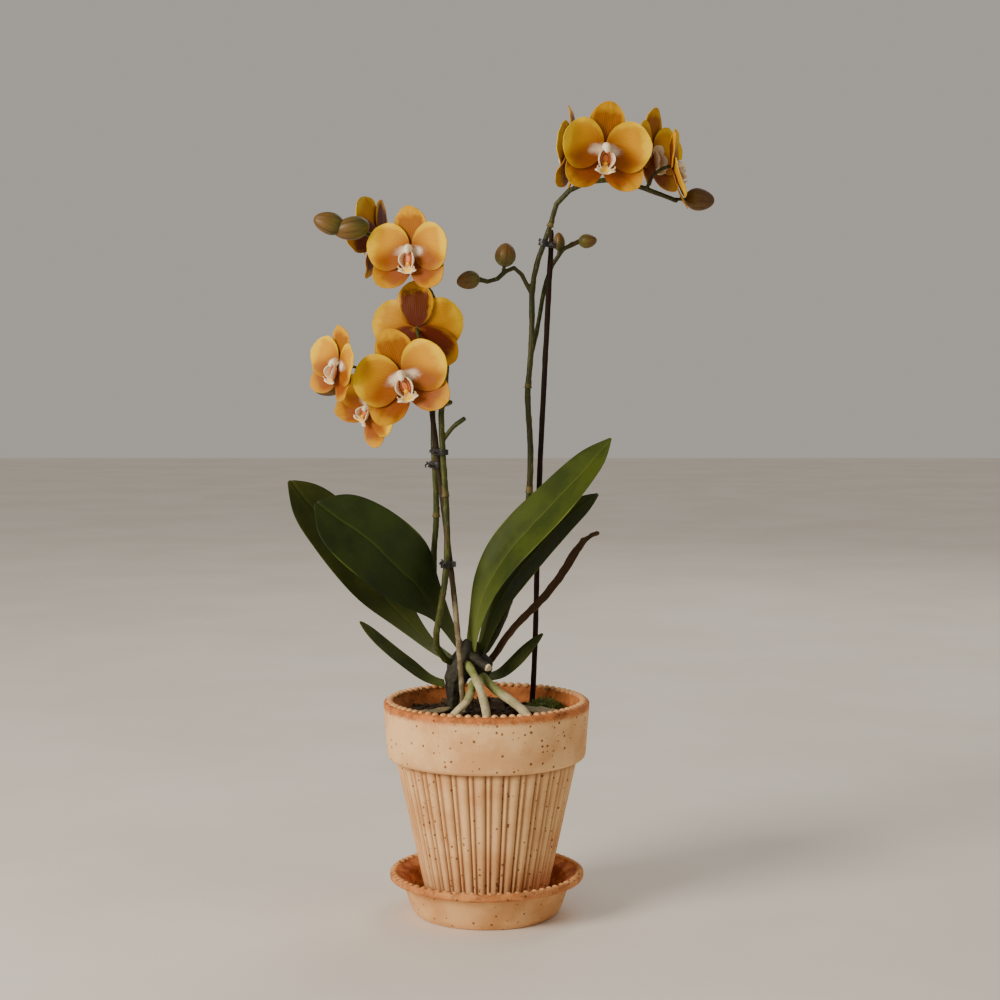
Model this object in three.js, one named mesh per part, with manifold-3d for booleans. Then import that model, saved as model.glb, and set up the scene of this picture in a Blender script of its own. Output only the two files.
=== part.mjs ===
// Potted moth orchid with two flowering stalks on the left and one on the right,
// in a fluted clay pot that stands in its saucer.
// Millimetres, +Z up. The origin is the centre of the saucer's underside, and -Y is the front.
// Plant points are written from the middle of the growing medium's surface.

import * as THREE from 'three';
import { mergeVertices } from 'three/addons/utils/BufferGeometryUtils.js';
import Module from 'manifold-3d';

const wasm = await Module();
wasm.setup();

// ---------------------------------------------------------------- driving sizes

const GAP = 0.3;                // left between two pieces that touch
const DEGREE = Math.PI / 180;

const SAUCER = {
  baseRadius: 48, wallFootRadius: 51, wallTopRadius: 57, lipRadius: 66,
  height: 28.7, floor: 6, wall: 4.5, lipEdge: 3, lipRound: 1, cornerDrop: 4, lipDrop: 4.5, lipInset: 2,
  floorRound: 2.5, sides: 48,
};

const POT = {
  height: 139.2, rimRadius: 70, collarHeight: 39, collarFootRadius: 67, bodyTopRadius: 61.5,
  baseRadius: 40, wall: 5, floor: 6, drainRadius: 10, round: 2.5, rimRound: 1.5, mouthFlare: 1, sides: 48,
  drainSides: 24,
};

const FLUTES = { count: 32, pointsEach: 5, depth: 1.4, narrowShare: 0.34, narrowRise: 0.75 };

// The waves are turns per millimetre of the surface's long and short unevenness.
const MEDIUM = {
  belowRim: 11, dome: 1.5, unevenness: 0.8, edgeDrop: 3, rings: 5, sides: 28,
  longWave: [0.19, 0.23], shortWave: [0.41, 0.33], shortShare: 0.6,
};

const STALK = {
  radius: 2.4, tipRadius: 1.7, branchRadius: 1.6, branchSteps: 7, sides: 6, samples: 200,
  pedicelRadius: 1.2, pedicelLead: 9, pedicelSteps: 5, pedicelBend: 0.65, neck: 3,
};

const BUD = { sides: 7, rings: 6 };

const STAKE = { radius: 2.1, depthInMedium: 45, sides: 8, steps: 8 };

const TIE = { wall: 1.2, height: 2.2, slack: 0.5, curveSegments: 5 };

const LEAF = {
  thickness: 1.8, edgeShare: 0.45, fold: 0.16, tipHalfWidth: 0.8, tipRoundness: 2.4, gather: 0.9,
  alongSteps: 11, acrossSteps: 4,
};

const ROOT = { sides: 8, steps: 8 };

const FLOWER = {
  span: 62, claw: 1.4, tepalThickness: 0.9, dish: 7, sepalDrop: 1.9, hubRadius: 2.4, hubHalfHeight: 0.6,
  tipRoundness: 2.6, endShare: 0.015, cornerCut: 0.13, alongSteps: 4, acrossSteps: 2,
  dorsal: { length: 31, halfWidth: 10.5, widest: 0.55 },
  lateral: { length: 34.5, halfWidth: 11.5, widest: 0.56, angle: 136 },
  petal: { length: 31.5, halfWidth: 16.5, widest: 0.56, angle: 82 },
};

// Each part of the lip is an egg: where its middle is, its half sizes, and its turn in degrees.
const LIP = {
  column: [[0, 1, 4.6], [2.3, 3, 4.2], [0, 0, 0]],
  base: [[0, -6.5, 3.3], [5, 8.5, 2.3], [0, 0, 0]],
  rightLobe: [[4.6, -7.6, 5.6], [1.9, 6.2, 5], [18, 20, 8]],
  leftLobe: [[-4.6, -7.6, 5.6], [1.9, 6.2, 5], [18, -20, -8]],
  middleLobe: [[0, -14.2, 5.4], [6.4, 4, 1.9], [24, 0, 0]],
};

// ---------------------------------------------------------------- derived places

const POT_FOOT = SAUCER.floor + GAP;
const POT_TOP = POT_FOOT + POT.height;
const MEDIUM_TOP = POT_TOP - MEDIUM.belowRim;
const COLLAR_FOOT = POT_TOP - POT.collarHeight;

// ---------------------------------------------------------------- helpers

const vector = (point) => new THREE.Vector3(point[0], point[1], point[2]);
const curveThrough = (points) => new THREE.CatmullRomCurve3(points.map(vector));

function solidOf(geometry) {
  const bare = geometry.clone();
  bare.deleteAttribute('normal');
  bare.deleteAttribute('uv');
  const merged = mergeVertices(bare);
  const vertProperties = new Float32Array(merged.attributes.position.array);
  const triVerts = new Uint32Array(merged.index.array);
  return new wasm.Manifold(new wasm.Mesh({ numProp: 3, vertProperties, triVerts }));
}

function geometryOf(solid) {
  const mesh = solid.getMesh();
  const geometry = new THREE.BufferGeometry();
  geometry.setAttribute('position', new THREE.BufferAttribute(mesh.vertProperties, 3));
  geometry.setIndex(new THREE.BufferAttribute(mesh.triVerts, 1));
  return geometry;
}

const joined = (geometries) => geometries.map(solidOf).reduce((whole, next) => whole.add(next));
const bigger = (one, other) => (other.volume() > one.volume() ? other : one);
const largest = (solid) => solid.decompose().reduce(bigger);
// Cutting a piece clear of its neighbour can leave a crumb on the far side, which isn't kept.
const without = (geometry, tools) => {
  const rest = tools.reduce((left, tool) => left.subtract(tool), solidOf(geometry));
  return largest(rest);
};

// A flat box blank is bent into a leaf or a petal: u runs along it from 0 to 1,
// v across it from -1 to 1, and w through its thickness from -0.5 to 0.5.
function bentPlate(alongSteps, acrossSteps, place) {
  const blank = new THREE.BoxGeometry(1, 1, 1, alongSteps, acrossSteps, 1);
  const spots = blank.attributes.position;
  for (let i = 0; i < spots.count; i += 1) {
    const spot = place(spots.getX(i) + 0.5, 2 * spots.getY(i), spots.getZ(i));
    spots.setXYZ(i, spot.x, spot.y, spot.z);
  }
  return blank;
}

// A cylinder blank is bent along a curve, with its own radius at each step.
function taperedTube(curve, radiusAt, sides, steps) {
  const blank = new THREE.CylinderGeometry(1, 1, 1, sides, steps);
  const frames = curve.computeFrenetFrames(steps);
  const spots = blank.attributes.position;
  for (let i = 0; i < spots.count; i += 1) {
    const step = Math.round((spots.getY(i) + 0.5) * steps);
    const radius = radiusAt(step / steps);
    const spot = curve.getPointAt(step / steps);
    spot.addScaledVector(frames.normals[step], radius * spots.getX(i));
    spot.addScaledVector(frames.binormals[step], -radius * spots.getZ(i));
    spots.setXYZ(i, spot.x, spot.y, spot.z);
  }
  return blank;
}

const between = (from, to) => (t) => THREE.MathUtils.lerp(from, to, t);

// A value that runs evenly through a short list of stations.
function through(values) {
  return (t) => {
    const at = Math.min(t * (values.length - 1), values.length - 1.0001);
    const index = Math.floor(at);
    return THREE.MathUtils.lerp(values[index], values[index + 1], at - index);
  };
}

function ellipsoid(centre, radii, turn = [0, 0, 0], widthSegments = 6, heightSegments = 4) {
  const ball = new THREE.SphereGeometry(1, widthSegments, heightSegments);
  ball.scale(radii[0], radii[1], radii[2]);
  const euler = new THREE.Euler(turn[0] * DEGREE, turn[1] * DEGREE, turn[2] * DEGREE);
  ball.applyQuaternion(new THREE.Quaternion().setFromEuler(euler));
  ball.translate(centre[0], centre[1], centre[2]);
  return ball;
}

// Lathe profiles are drawn as [radius, height] pairs and turned about +Z.
function turned(profile, sides) {
  const points = profile.map(([radius, height]) => new THREE.Vector2(radius, height));
  const geometry = new THREE.LatheGeometry(points, sides);
  geometry.rotateX(90 * DEGREE);
  return geometry;
}

// ---------------------------------------------------------------- saucer

function saucerGeometry() {
  const s = SAUCER;
  const lipFoot = s.height - s.lipDrop;
  return turned([
    [0, 0],
    [s.baseRadius, 0],
    [s.wallFootRadius, s.cornerDrop],
    [s.wallTopRadius, lipFoot - s.lipEdge],
    [s.lipRadius, lipFoot],
    [s.lipRadius, s.height - s.lipRound],
    [s.lipRadius - s.lipEdge, s.height],
    [s.wallTopRadius - s.wall + s.lipInset, lipFoot],
    [s.wallFootRadius - s.wall, s.floor + s.floorRound],
    [s.wallFootRadius - s.wall - s.floorRound, s.floor],
    [0, s.floor],
  ], s.sides);
}

// ---------------------------------------------------------------- pot

// One period of the fluting is a wide rib, a groove, a narrow rib and a groove.
function fluteDepth(angle) {
  const period = (2 * Math.PI) / FLUTES.count;
  const phase = THREE.MathUtils.euclideanModulo(angle, period) / period;
  const narrow = phase < FLUTES.narrowShare;
  const wideShare = (phase - FLUTES.narrowShare) / (1 - FLUTES.narrowShare);
  const share = narrow ? phase / FLUTES.narrowShare : wideShare;
  const rise = Math.sqrt(Math.sin(Math.PI * share));
  return FLUTES.depth * (1 - (narrow ? FLUTES.narrowRise : 1) * rise);
}

function bodyRadius(height) {
  const share = (height - POT_FOOT) / (COLLAR_FOOT - POT_FOOT);
  return THREE.MathUtils.lerp(POT.baseRadius, POT.bodyTopRadius, share);
}

function flutedBody() {
  const top = COLLAR_FOOT + POT.wall;
  const height = top - POT_FOOT;
  const sides = FLUTES.count * FLUTES.pointsEach;
  const body = new THREE.CylinderGeometry(1, 1, height, sides, 1);
  body.rotateX(90 * DEGREE);
  body.translate(0, 0, POT_FOOT + height / 2);
  const spots = body.attributes.position;
  for (let i = 0; i < spots.count; i += 1) {
    const x = spots.getX(i);
    const y = spots.getY(i);
    const across = Math.hypot(x, y);
    if (across > 0.5) {
      const angle = Math.atan2(y, x);
      const radius = bodyRadius(spots.getZ(i)) - fluteDepth(angle);
      spots.setX(i, radius * Math.cos(angle));
      spots.setY(i, radius * Math.sin(angle));
    }
  }
  return body;
}

function innerRadius(height) {
  const bodyInner = bodyRadius(Math.min(height, COLLAR_FOOT)) - FLUTES.depth - POT.wall;
  const rimInner = POT.rimRadius - POT.wall;
  const share = THREE.MathUtils.clamp((height - COLLAR_FOOT) / POT.collarHeight, 0, 1);
  return THREE.MathUtils.lerp(bodyInner, rimInner, share);
}

function potSolid() {
  const p = POT;
  const collar = turned([
    [0, COLLAR_FOOT],
    [p.collarFootRadius - p.round, COLLAR_FOOT],
    [p.collarFootRadius, COLLAR_FOOT + p.round],
    [p.rimRadius, POT_TOP - p.rimRound],
    [p.rimRadius - p.rimRound, POT_TOP],
    [0, POT_TOP],
  ], p.sides);
  const hollow = turned([
    [0, POT_FOOT + p.floor],
    [innerRadius(POT_FOOT + p.floor) - p.round, POT_FOOT + p.floor],
    [innerRadius(POT_FOOT + p.floor + p.round), POT_FOOT + p.floor + p.round],
    [innerRadius(COLLAR_FOOT), COLLAR_FOOT],
    [innerRadius(POT_TOP - p.mouthFlare), POT_TOP - p.mouthFlare],
    [innerRadius(POT_TOP) + p.mouthFlare, POT_TOP + p.mouthFlare],
    [0, POT_TOP + p.mouthFlare],
  ], p.sides);
  const drain = new THREE.CylinderGeometry(p.drainRadius, p.drainRadius, 4 * p.floor, p.drainSides);
  drain.rotateX(90 * DEGREE);
  drain.translate(0, 0, POT_FOOT);
  return joined([flutedBody(), collar]).subtract(solidOf(hollow)).subtract(solidOf(drain));
}

// ---------------------------------------------------------------- growing medium

// Height of the medium's surface over its middle level, at a point from the pot's axis.
function surfaceAt(x, y) {
  const share = Math.hypot(x, y) / (POT.rimRadius - POT.wall);
  const { longWave, shortWave, shortShare } = MEDIUM;
  const long = Math.sin(x * longWave[0] + 1) * Math.cos(y * longWave[1]);
  const short = Math.sin(x * shortWave[0] - y * shortWave[1]);
  return -MEDIUM.dome * share * share + MEDIUM.unevenness * (long + shortShare * short);
}

function mediumGeometry() {
  const foot = POT_FOOT + POT.floor + GAP;
  const profile = [[0, foot], [innerRadius(foot) - POT.round - GAP, foot]];
  profile.push([innerRadius(foot + POT.round) - GAP, foot + POT.round]);
  profile.push([innerRadius(COLLAR_FOOT) - GAP, COLLAR_FOOT]);
  const edge = innerRadius(MEDIUM_TOP - MEDIUM.edgeDrop) - GAP;
  profile.push([edge, MEDIUM_TOP - MEDIUM.edgeDrop]);
  for (let ring = MEDIUM.rings - 1; ring >= 0; ring -= 1) {
    profile.push([(edge * ring) / MEDIUM.rings, MEDIUM_TOP]);
  }
  const body = turned(profile, MEDIUM.sides);
  const spots = body.attributes.position;
  for (let i = 0; i < spots.count; i += 1) {
    if (spots.getZ(i) > MEDIUM_TOP - MEDIUM.edgeDrop / 2) {
      spots.setZ(i, spots.getZ(i) + surfaceAt(spots.getX(i), spots.getY(i)));
    }
  }
  return body;
}

// ---------------------------------------------------------------- stakes

const STAKE_LINES = {
  left: [[-15, -10, 0], [-20.5, -8, 73], [-24, -6, 102], [-37.5, 2, 213]],
  right: [[32, 42, 0], [36, 34, 150], [42, 29, 280], [44.5, 28.5, 329]],
};

// Under the surface a stake leans in with the pot's wall.
function stakeCurve(points) {
  const lean = innerRadius(MEDIUM_TOP - STAKE.depthInMedium) / innerRadius(MEDIUM_TOP);
  const foot = [points[0][0] * lean, points[0][1] * lean, -STAKE.depthInMedium];
  return curveThrough([foot, ...points]);
}

const stake = (side, extra = 0) => taperedTube(
  stakeCurve(STAKE_LINES[side]), between(STAKE.radius + extra, STAKE.radius + extra), STAKE.sides, STAKE.steps,
);

// ---------------------------------------------------------------- crown and roots

const CROWN = {
  line: [[-23, 1, -14], [-23, 1, 6], [-22, 2, 20], [-18, 4, 31], [-13, 4, 41], [-10, 4, 51]],
  radii: [4, 3.6, 6, 9.5, 9.5, 5],
  sides: 8,
  steps: 9,
};
const SIDE_SHOOT = { centre: [-5, 6, 32], radii: [10, 8, 11], turn: [0, 15, 0], sides: 8, rings: 6 };
const OLD_STUB = { line: [[-11, -2, 42], [2, -17, 35]], radius: 3 };

function crown(extra = 0) {
  const girth = through(CROWN.radii);
  const trunk = taperedTube(curveThrough(CROWN.line), (t) => girth(t) + extra, CROWN.sides, CROWN.steps);
  const { centre, radii, turn, sides, rings } = SIDE_SHOOT;
  const shoot = ellipsoid(centre, radii.map((radius) => radius + extra), turn, sides, rings);
  const stub = taperedTube(curveThrough(OLD_STUB.line), () => OLD_STUB.radius + extra, CROWN.sides, 1);
  return joined([trunk, shoot, stub]);
}

const ROOTS = {
  root_front: {
    line: [[-14, 0, 37], [-11, -9, 34], [-6, -16, 26], [-3, -20, 18], [0, -23, 8], [1, -25, -7]],
    radius: 2.3,
  },
  root_right: {
    line: [[-4, 2, 29], [4, -10, 21], [12, -15, 16], [18, -18, 12], [25, -21, 7], [33, -24, -6]],
    radius: 2.4,
  },
  root_left: { line: [[-27, -17, -4], [-20, -22, 7], [-14, -23, 12], [-11, -18, 17],
    [-9, -6, 24]], radius: 2.1 },
};

// ---------------------------------------------------------------- leaves

// width is half the widest span; face is the way the upper side looks at the foot and at the tip.
const LEAVES = {
  leaf_left_front: {
    line: [[-17, 4, 44], [-27, 6, 60], [-35, 3, 74], [-45, -4, 87], [-61, -13, 106], [-78, -18, 120],
      [-95, -19, 133], [-114, -18, 146]],
    width: 27, foot: 5, widest: 0.6, face: [[0.6, -0.4, 0.6], [0.25, -0.85, 0.4]],
  },
  leaf_left_back: {
    line: [[-19, 7, 34], [-35, 12, 42], [-52, 18, 58], [-71, 24, 78], [-88, 26, 101], [-106, 27, 123],
      [-122, 26, 142], [-136, 24, 158]],
    width: 22, foot: 4.5, widest: 0.62, face: [[0.5, -0.4, 0.7], [0.45, -0.8, 0.35]],
  },
  leaf_right_front: {
    line: [[-11, 1, 34], [-9, -2, 54], [-4, -6, 76], [4, -10, 97], [18, -12, 117], [35, -13, 134],
      [54, -11, 154], [71, -7, 173], [84, -4, 189]],
    width: 21, foot: 5, widest: 0.55, face: [[-0.6, -0.5, 0.2], [-0.66, -0.6, 0.46]],
  },
  leaf_right_back: {
    line: [[-8, 7, 32], [-1, 7, 50], [5, 6, 68], [15, 5, 88], [32, 4, 109], [49, 6, 128], [64, 9, 141],
      [76, 12, 150]],
    width: 16, foot: 4.5, widest: 0.55, face: [[-0.6, -0.5, 0.2], [-0.66, -0.6, 0.46]],
  },
  leaf_withered: {
    line: [[-5, 10, 28], [5, 12, 38], [14, 11, 53], [24, 11, 64], [36, 16, 75], [47, 21, 87],
      [54, 25, 97], [61, 28, 108], [67, 31, 117], [77, 33, 122]],
    width: 3.4, foot: 3, widest: 0.8, thickness: 1.3, face: [[-0.5, -0.7, 0.5], [-0.3, -0.7, 0.6]],
  },
  leaf_small_left: {
    line: [[-24, 0, 21], [-38, -5, 25], [-51, -9, 35], [-63, -12, 45], [-74, -13, 55], [-85, -12, 66]],
    width: 6, foot: 3, widest: 0.45, face: [[0.4, -0.6, 0.7], [0.4, -0.6, 0.7]],
  },
  leaf_small_right: {
    line: [[-8, 7, 26], [8, 14, 25], [19, 18, 33], [28, 21, 42], [39, 23, 53]],
    width: 5.5, foot: 3, widest: 0.5, face: [[-0.4, -0.7, 0.6], [-0.4, -0.7, 0.6]],
  },
};

// A blade is narrow at its foot, widest where it says and round at its tip.
function bladeShare(t, widest) {
  const rise = THREE.MathUtils.smootherstep(t, 0, widest);
  const fall = Math.sqrt(Math.max(0, 1 - Math.max(0, (t - widest) / (1 - widest)) ** LEAF.tipRoundness));
  return t < widest ? rise : fall;
}

function leaf({ line, width, foot, widest, face, thickness = LEAF.thickness }) {
  const spine = curveThrough(line);
  const [faceAtFoot, faceAtTip] = face.map(vector);
  return bentPlate(LEAF.alongSteps, LEAF.acrossSteps, (u, v, w) => {
    const t = u ** LEAF.gather;
    const tangent = spine.getTangentAt(t);
    const upward = faceAtFoot.clone().lerp(faceAtTip, Math.min(1, 2 * t));
    const across = upward.cross(tangent).normalize();
    const normal = tangent.clone().cross(across);
    const blade = bladeShare(t, widest);
    const towardTip = Math.max(LEAF.tipHalfWidth, width * blade);
    const halfWidth = t < widest ? THREE.MathUtils.lerp(foot, width, blade) : towardTip;
    const thick = thickness * (1 - (1 - LEAF.edgeShare) * v * v);
    const lift = LEAF.fold * halfWidth * v * v;
    return spine.getPointAt(t).addScaledVector(across, v * halfWidth).addScaledVector(normal, w * thick + lift);
  });
}

// ---------------------------------------------------------------- flowers

// centre is where the petals meet; facing is degrees from the front towards the right,
// lift is degrees upwards, and roll turns the flower about its own axis.
const FLOWERS = [
  { centre: [-76, 29, 326], facing: -112, lift: 5, roll: 38, span: 54, stalk: 'left_front' },
  { centre: [-50, -11, 313], facing: -20, lift: 2, roll: 0, span: 56, stalk: 'left_front' },
  {
    centre: [-46.5, 0, 262], facing: 176, lift: 6, roll: -3, span: 60, stalk: 'left_front',
    lead: 30, via: [-37, -9, 236],
  },
  { centre: [-55, -25, 230], facing: -6, lift: 0, roll: 18, span: 62, stalk: 'left_back' },
  { centre: [-98, -14, 238], facing: -52, lift: 4, roll: -12, span: 50, stalk: 'left_back' },
  { centre: [-78, 4, 210], facing: -40, lift: -15, roll: -40, span: 50, stalk: 'left_back' },
  { centre: [78, -14, 379], facing: 12, lift: -2, roll: -4, span: 59, stalk: 'right' },
  { centre: [59, 36, 383], facing: -103, lift: 4, roll: 0, span: 58, stalk: 'right' },
  { centre: [113, 28.4, 381.5], facing: 57, lift: 4, roll: -4, span: 57, stalk: 'right' },
  { centre: [125, 2, 369.5], facing: 84, lift: 8, roll: 48, span: 52, stalk: 'right' },
];

// direction is measured from straight up, and turns to the viewer's left.
function tepal({ length, halfWidth, widest }, direction, layer) {
  const angle = (90 + direction) * DEGREE;
  const along = new THREE.Vector3(Math.cos(angle), Math.sin(angle), 0);
  const across = new THREE.Vector3(-Math.sin(angle), Math.cos(angle), 0);
  return bentPlate(FLOWER.alongSteps, FLOWER.acrossSteps, (u, v, w) => {
    const rise = 1 - Math.min(u / widest, 1);
    const fall = Math.max((u - widest) / (1 - widest), 0);
    const share = Math.sqrt(Math.max(FLOWER.endShare, 1 - rise ** 2 - fall ** FLOWER.tipRoundness));
    const reach = FLOWER.claw + (length - FLOWER.claw) * u * (1 - FLOWER.cornerCut * v * v * u);
    const spot = along.clone().multiplyScalar(reach).addScaledVector(across, v * halfWidth * share);
    const dish = FLOWER.dish * (spot.lengthSq() / (FLOWER.span / 2) ** 2);
    spot.z = layer + dish + w * FLOWER.tepalThickness;
    return spot;
  });
}

const hub = (layer) => ellipsoid([0, 0, layer], [FLOWER.hubRadius, FLOWER.hubRadius, FLOWER.hubHalfHeight]);

function sepals() {
  const layer = -FLOWER.sepalDrop;
  const turn = FLOWER.lateral.angle;
  return joined([
    tepal(FLOWER.dorsal, 0, layer),
    tepal(FLOWER.lateral, turn, layer),
    tepal(FLOWER.lateral, -turn, layer),
    hub(layer),
  ]);
}

function petals() {
  const turn = FLOWER.petal.angle;
  return joined([tepal(FLOWER.petal, turn, 0), tepal(FLOWER.petal, -turn, 0), hub(0)]);
}

// The lip hangs in front of the petals: two side lobes, a middle lobe and the column above them.
function lip() {
  return joined(Object.values(LIP).map(([centre, radii, turn]) => ellipsoid(centre, radii, turn)));
}

function flowerFrame({ centre, facing, lift, roll, span }) {
  const out = new THREE.Vector3(
    Math.sin(facing * DEGREE) * Math.cos(lift * DEGREE),
    -Math.cos(facing * DEGREE) * Math.cos(lift * DEGREE),
    Math.sin(lift * DEGREE),
  );
  const right = new THREE.Vector3(0, 0, 1).cross(out).normalize();
  const up = out.clone().cross(right);
  const rolled = new THREE.Matrix4().makeRotationZ(roll * DEGREE);
  const turnedFrame = new THREE.Matrix4().makeBasis(right, up, out).multiply(rolled);
  const scale = span / FLOWER.span;
  const back = vector(centre).addScaledVector(out, -(FLOWER.sepalDrop + FLOWER.hubHalfHeight) * scale - GAP);
  return { frame: turnedFrame, place: vector(centre), scale, out, back };
}

// ---------------------------------------------------------------- flowering stalks

const STALKS = {
  left_front: {
    line: [[-20, 3, 34], [-29, -4, 40], [-34, -9, 50], [-33, -12, 62], [-30, -13, 78], [-27, -13.5, 99],
      [-26, -12, 120], [-27, -10, 147],
      [-29, -8, 178], [-30, -6, 198], [-30, -2, 209], [-28, 4, 221], [-27, 12, 234], [-27, 18, 248],
        [-31, 21, 265], [-36, 19, 283],
      [-43, 15, 293], [-51, 12, 304], [-61, 7, 314], [-72, 1, 321], [-84, -7, 326]],
    steps: 30,
    buds: [
      { centre: [-89, -9, 328], toward: [-1, -0.15, -0.15], length: 23, width: 16 },
      { centre: [-106, -13, 332], toward: [-1, -0.2, 0.1], length: 16, width: 13 },
    ],
    branches: [
      [[-29, -6, 187], [-22, -8, 196], [-14, -10, 202]],
      [[-30, -4, 208], [-26, -7, 213], [-23, -9, 212]],
      [[-30, -3, 210], [-33, -6, 216], [-36, -8, 217]],
    ],
  },
  left_back: {
    line: [[-14, 11, 40], [-21, 18, 51], [-29, 20, 64], [-35, 17, 80], [-36, 13, 105], [-34, 10, 136],
      [-35, 7, 169], [-36, 8, 187],
      [-36, 9, 204], [-38, 9, 214], [-45, 6, 221], [-56, 4, 225], [-71, 7, 229], [-82, 11, 229],
        [-91, 15, 226]],
    steps: 22,
    buds: [{ centre: [-107, 17, 220], toward: [-1, 0.1, -0.1], length: 17, width: 8 }],
    branches: [],
  },
  right: {
    line: [[-9, 9, 36], [0, 15, 43], [9, 19, 58], [15, 22, 73], [20, 24, 90], [26, 26, 114],
      [29, 27, 145], [30, 26, 180], [28, 25, 219],
      [30, 24, 241], [31, 24, 268], [31, 24, 288], [34, 23, 305], [40, 21, 322], [44, 19, 334],
        [47, 17, 345], [53, 14, 352],
      [63, 12, 358], [80, 12, 361], [97, 8, 357.5], [111, 4.6, 353], [120, 8, 349.5], [128, 11, 347]],
    steps: 32,
    buds: [
      { centre: [143, 14, 348], toward: [1, 0, -0.1], length: 19, width: 15 },
      { centre: [-12, 4, 294], toward: [-1, -0.3, -0.25], length: 15, width: 12 },
      { centre: [13, 14, 311], toward: [0.1, -0.2, 1], length: 15, width: 14 },
      { centre: [50, 40, 322], toward: [-0.1, 0, 1], length: 11, width: 8 },
      { centre: [69, 37, 322], toward: [1, 0, 0.1], length: 12, width: 10 },
    ],
    branches: [
      [[31, 24, 285], [26, 23, 294], [21, 20, 302], [15, 17, 302], [10, 14, 297], [3, 11, 293], [-6, 7, 295]],
      [[31, 25, 246], [35, 32, 263], [38, 37, 281], [43, 39, 301], [49, 38, 312], [56, 38, 319], [64, 38, 322]],
    ],
  },
};

const stalkRadius = between(STALK.radius, STALK.tipRadius);

function nearestOn(curves, target) {
  let best = { distance: Infinity };
  curves.forEach((curve) => {
    const length = curve.getLength();
    for (let step = 0; step <= STALK.samples; step += 1) {
      const at = step / STALK.samples;
      const distance = curve.getPointAt(at).distanceTo(target);
      if (distance < best.distance) {
        best = { distance, curve, at, length };
      }
    }
  });
  return best;
}

// A pedicel leaves its stalk a little before the flower and comes up behind it.
function pedicel(curve, { stalkLead, back, out, via }) {
  const near = nearestOn([curve], back);
  const start = curve.getPointAt(Math.max(0, near.at - stalkLead / near.length));
  const behind = back.clone().addScaledVector(out, -STALK.pedicelLead);
  const middle = via ? vector(via) : start.clone().lerp(behind, STALK.pedicelBend);
  const neck = back.clone().addScaledVector(out, -STALK.neck);
  const line = new THREE.CatmullRomCurve3([start, middle, neck, back]);
  return taperedTube(line, () => STALK.pedicelRadius, STALK.sides, STALK.pedicelSteps);
}

function bud(curves, { centre, toward, length, width }) {
  const direction = vector(toward).normalize();
  const body = new THREE.SphereGeometry(1, BUD.sides, BUD.rings);
  body.scale(width / 2, length / 2, width / 2);
  body.applyQuaternion(new THREE.Quaternion().setFromUnitVectors(new THREE.Vector3(0, 1, 0), direction));
  body.translate(centre[0], centre[1], centre[2]);
  const near = nearestOn(curves, vector(centre).addScaledVector(direction, -length));
  const line = new THREE.LineCurve3(near.curve.getPointAt(near.at), vector(centre));
  return [body, taperedTube(line, () => STALK.pedicelRadius, STALK.sides, 1)];
}

function floweringStalk(name) {
  const { line, steps, buds, branches } = STALKS[name];
  const curve = curveThrough(line);
  const limbs = branches.map(curveThrough);
  const parts = [taperedTube(curve, stalkRadius, STALK.sides, steps)];
  limbs.forEach((limb) => {
    parts.push(taperedTube(limb, () => STALK.branchRadius, STALK.sides, STALK.branchSteps));
  });
  FLOWERS.filter(({ stalk }) => stalk === name).forEach((flower) => {
    const { back, out } = flowerFrame(flower);
    parts.push(pedicel(curve, { stalkLead: flower.lead ?? STALK.pedicelLead, back, out, via: flower.via }));
  });
  buds.forEach((each) => parts.push(...bud([curve, ...limbs], each)));
  return parts;
}

// ---------------------------------------------------------------- ties

// A point of a curve at a height, and the curve's direction there.
function atHeight(curve, height) {
  const miss = (at) => Math.abs(curve.getPointAt(at).z - height);
  let best = 0;
  for (let step = 1; step <= 2 * STALK.samples; step += 1) {
    const at = step / (2 * STALK.samples);
    best = miss(at) < miss(best) ? at : best;
  }
  return { spot: curve.getPointAt(best), axis: curve.getTangentAt(best), share: best };
}

// The outline of a band drawn tight round two rounds that stand side by side.
function bandOutline(Outline, apart, firstRadius, secondRadius) {
  const leave = Math.acos((firstRadius - secondRadius) / apart);
  const outline = new Outline();
  outline.absarc(0, 0, firstRadius, leave, 360 * DEGREE - leave);
  outline.absarc(apart, 0, secondRadius, -leave, leave);
  outline.closePath();
  return outline;
}

// One flat band that holds a stalk against its stake.
function tie(stalkName, side, height) {
  const stalk = atHeight(curveThrough(STALKS[stalkName].line), height);
  const post = atHeight(stakeCurve(STAKE_LINES[side]), height);
  const reach = post.spot.clone().sub(stalk.spot);
  const roundStalk = stalkRadius(stalk.share) + TIE.slack;
  const roundStake = STAKE.radius + TIE.slack;
  const band = bandOutline(THREE.Shape, reach.length(), roundStalk + TIE.wall, roundStake + TIE.wall);
  band.holes.push(bandOutline(THREE.Path, reach.length(), roundStalk, roundStake));
  const loop = new THREE.ExtrudeGeometry(band, {
    depth: TIE.height, bevelEnabled: false, curveSegments: TIE.curveSegments,
  });
  loop.translate(0, 0, -TIE.height / 2);
  const across = reach.clone().normalize();
  const middle = stalk.axis.clone().add(post.axis);
  const sideways = middle.clone().cross(across).normalize();
  const upright = across.clone().cross(sideways);
  loop.applyMatrix4(new THREE.Matrix4().makeBasis(across, sideways, upright));
  loop.translate(stalk.spot.x, stalk.spot.y, stalk.spot.z);
  return loop;
}

// ---------------------------------------------------------------- pieces on the medium

const SCRAP = { alongSteps: 6, acrossSteps: 2, endShare: 0.03, cupping: 0.6 };

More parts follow.
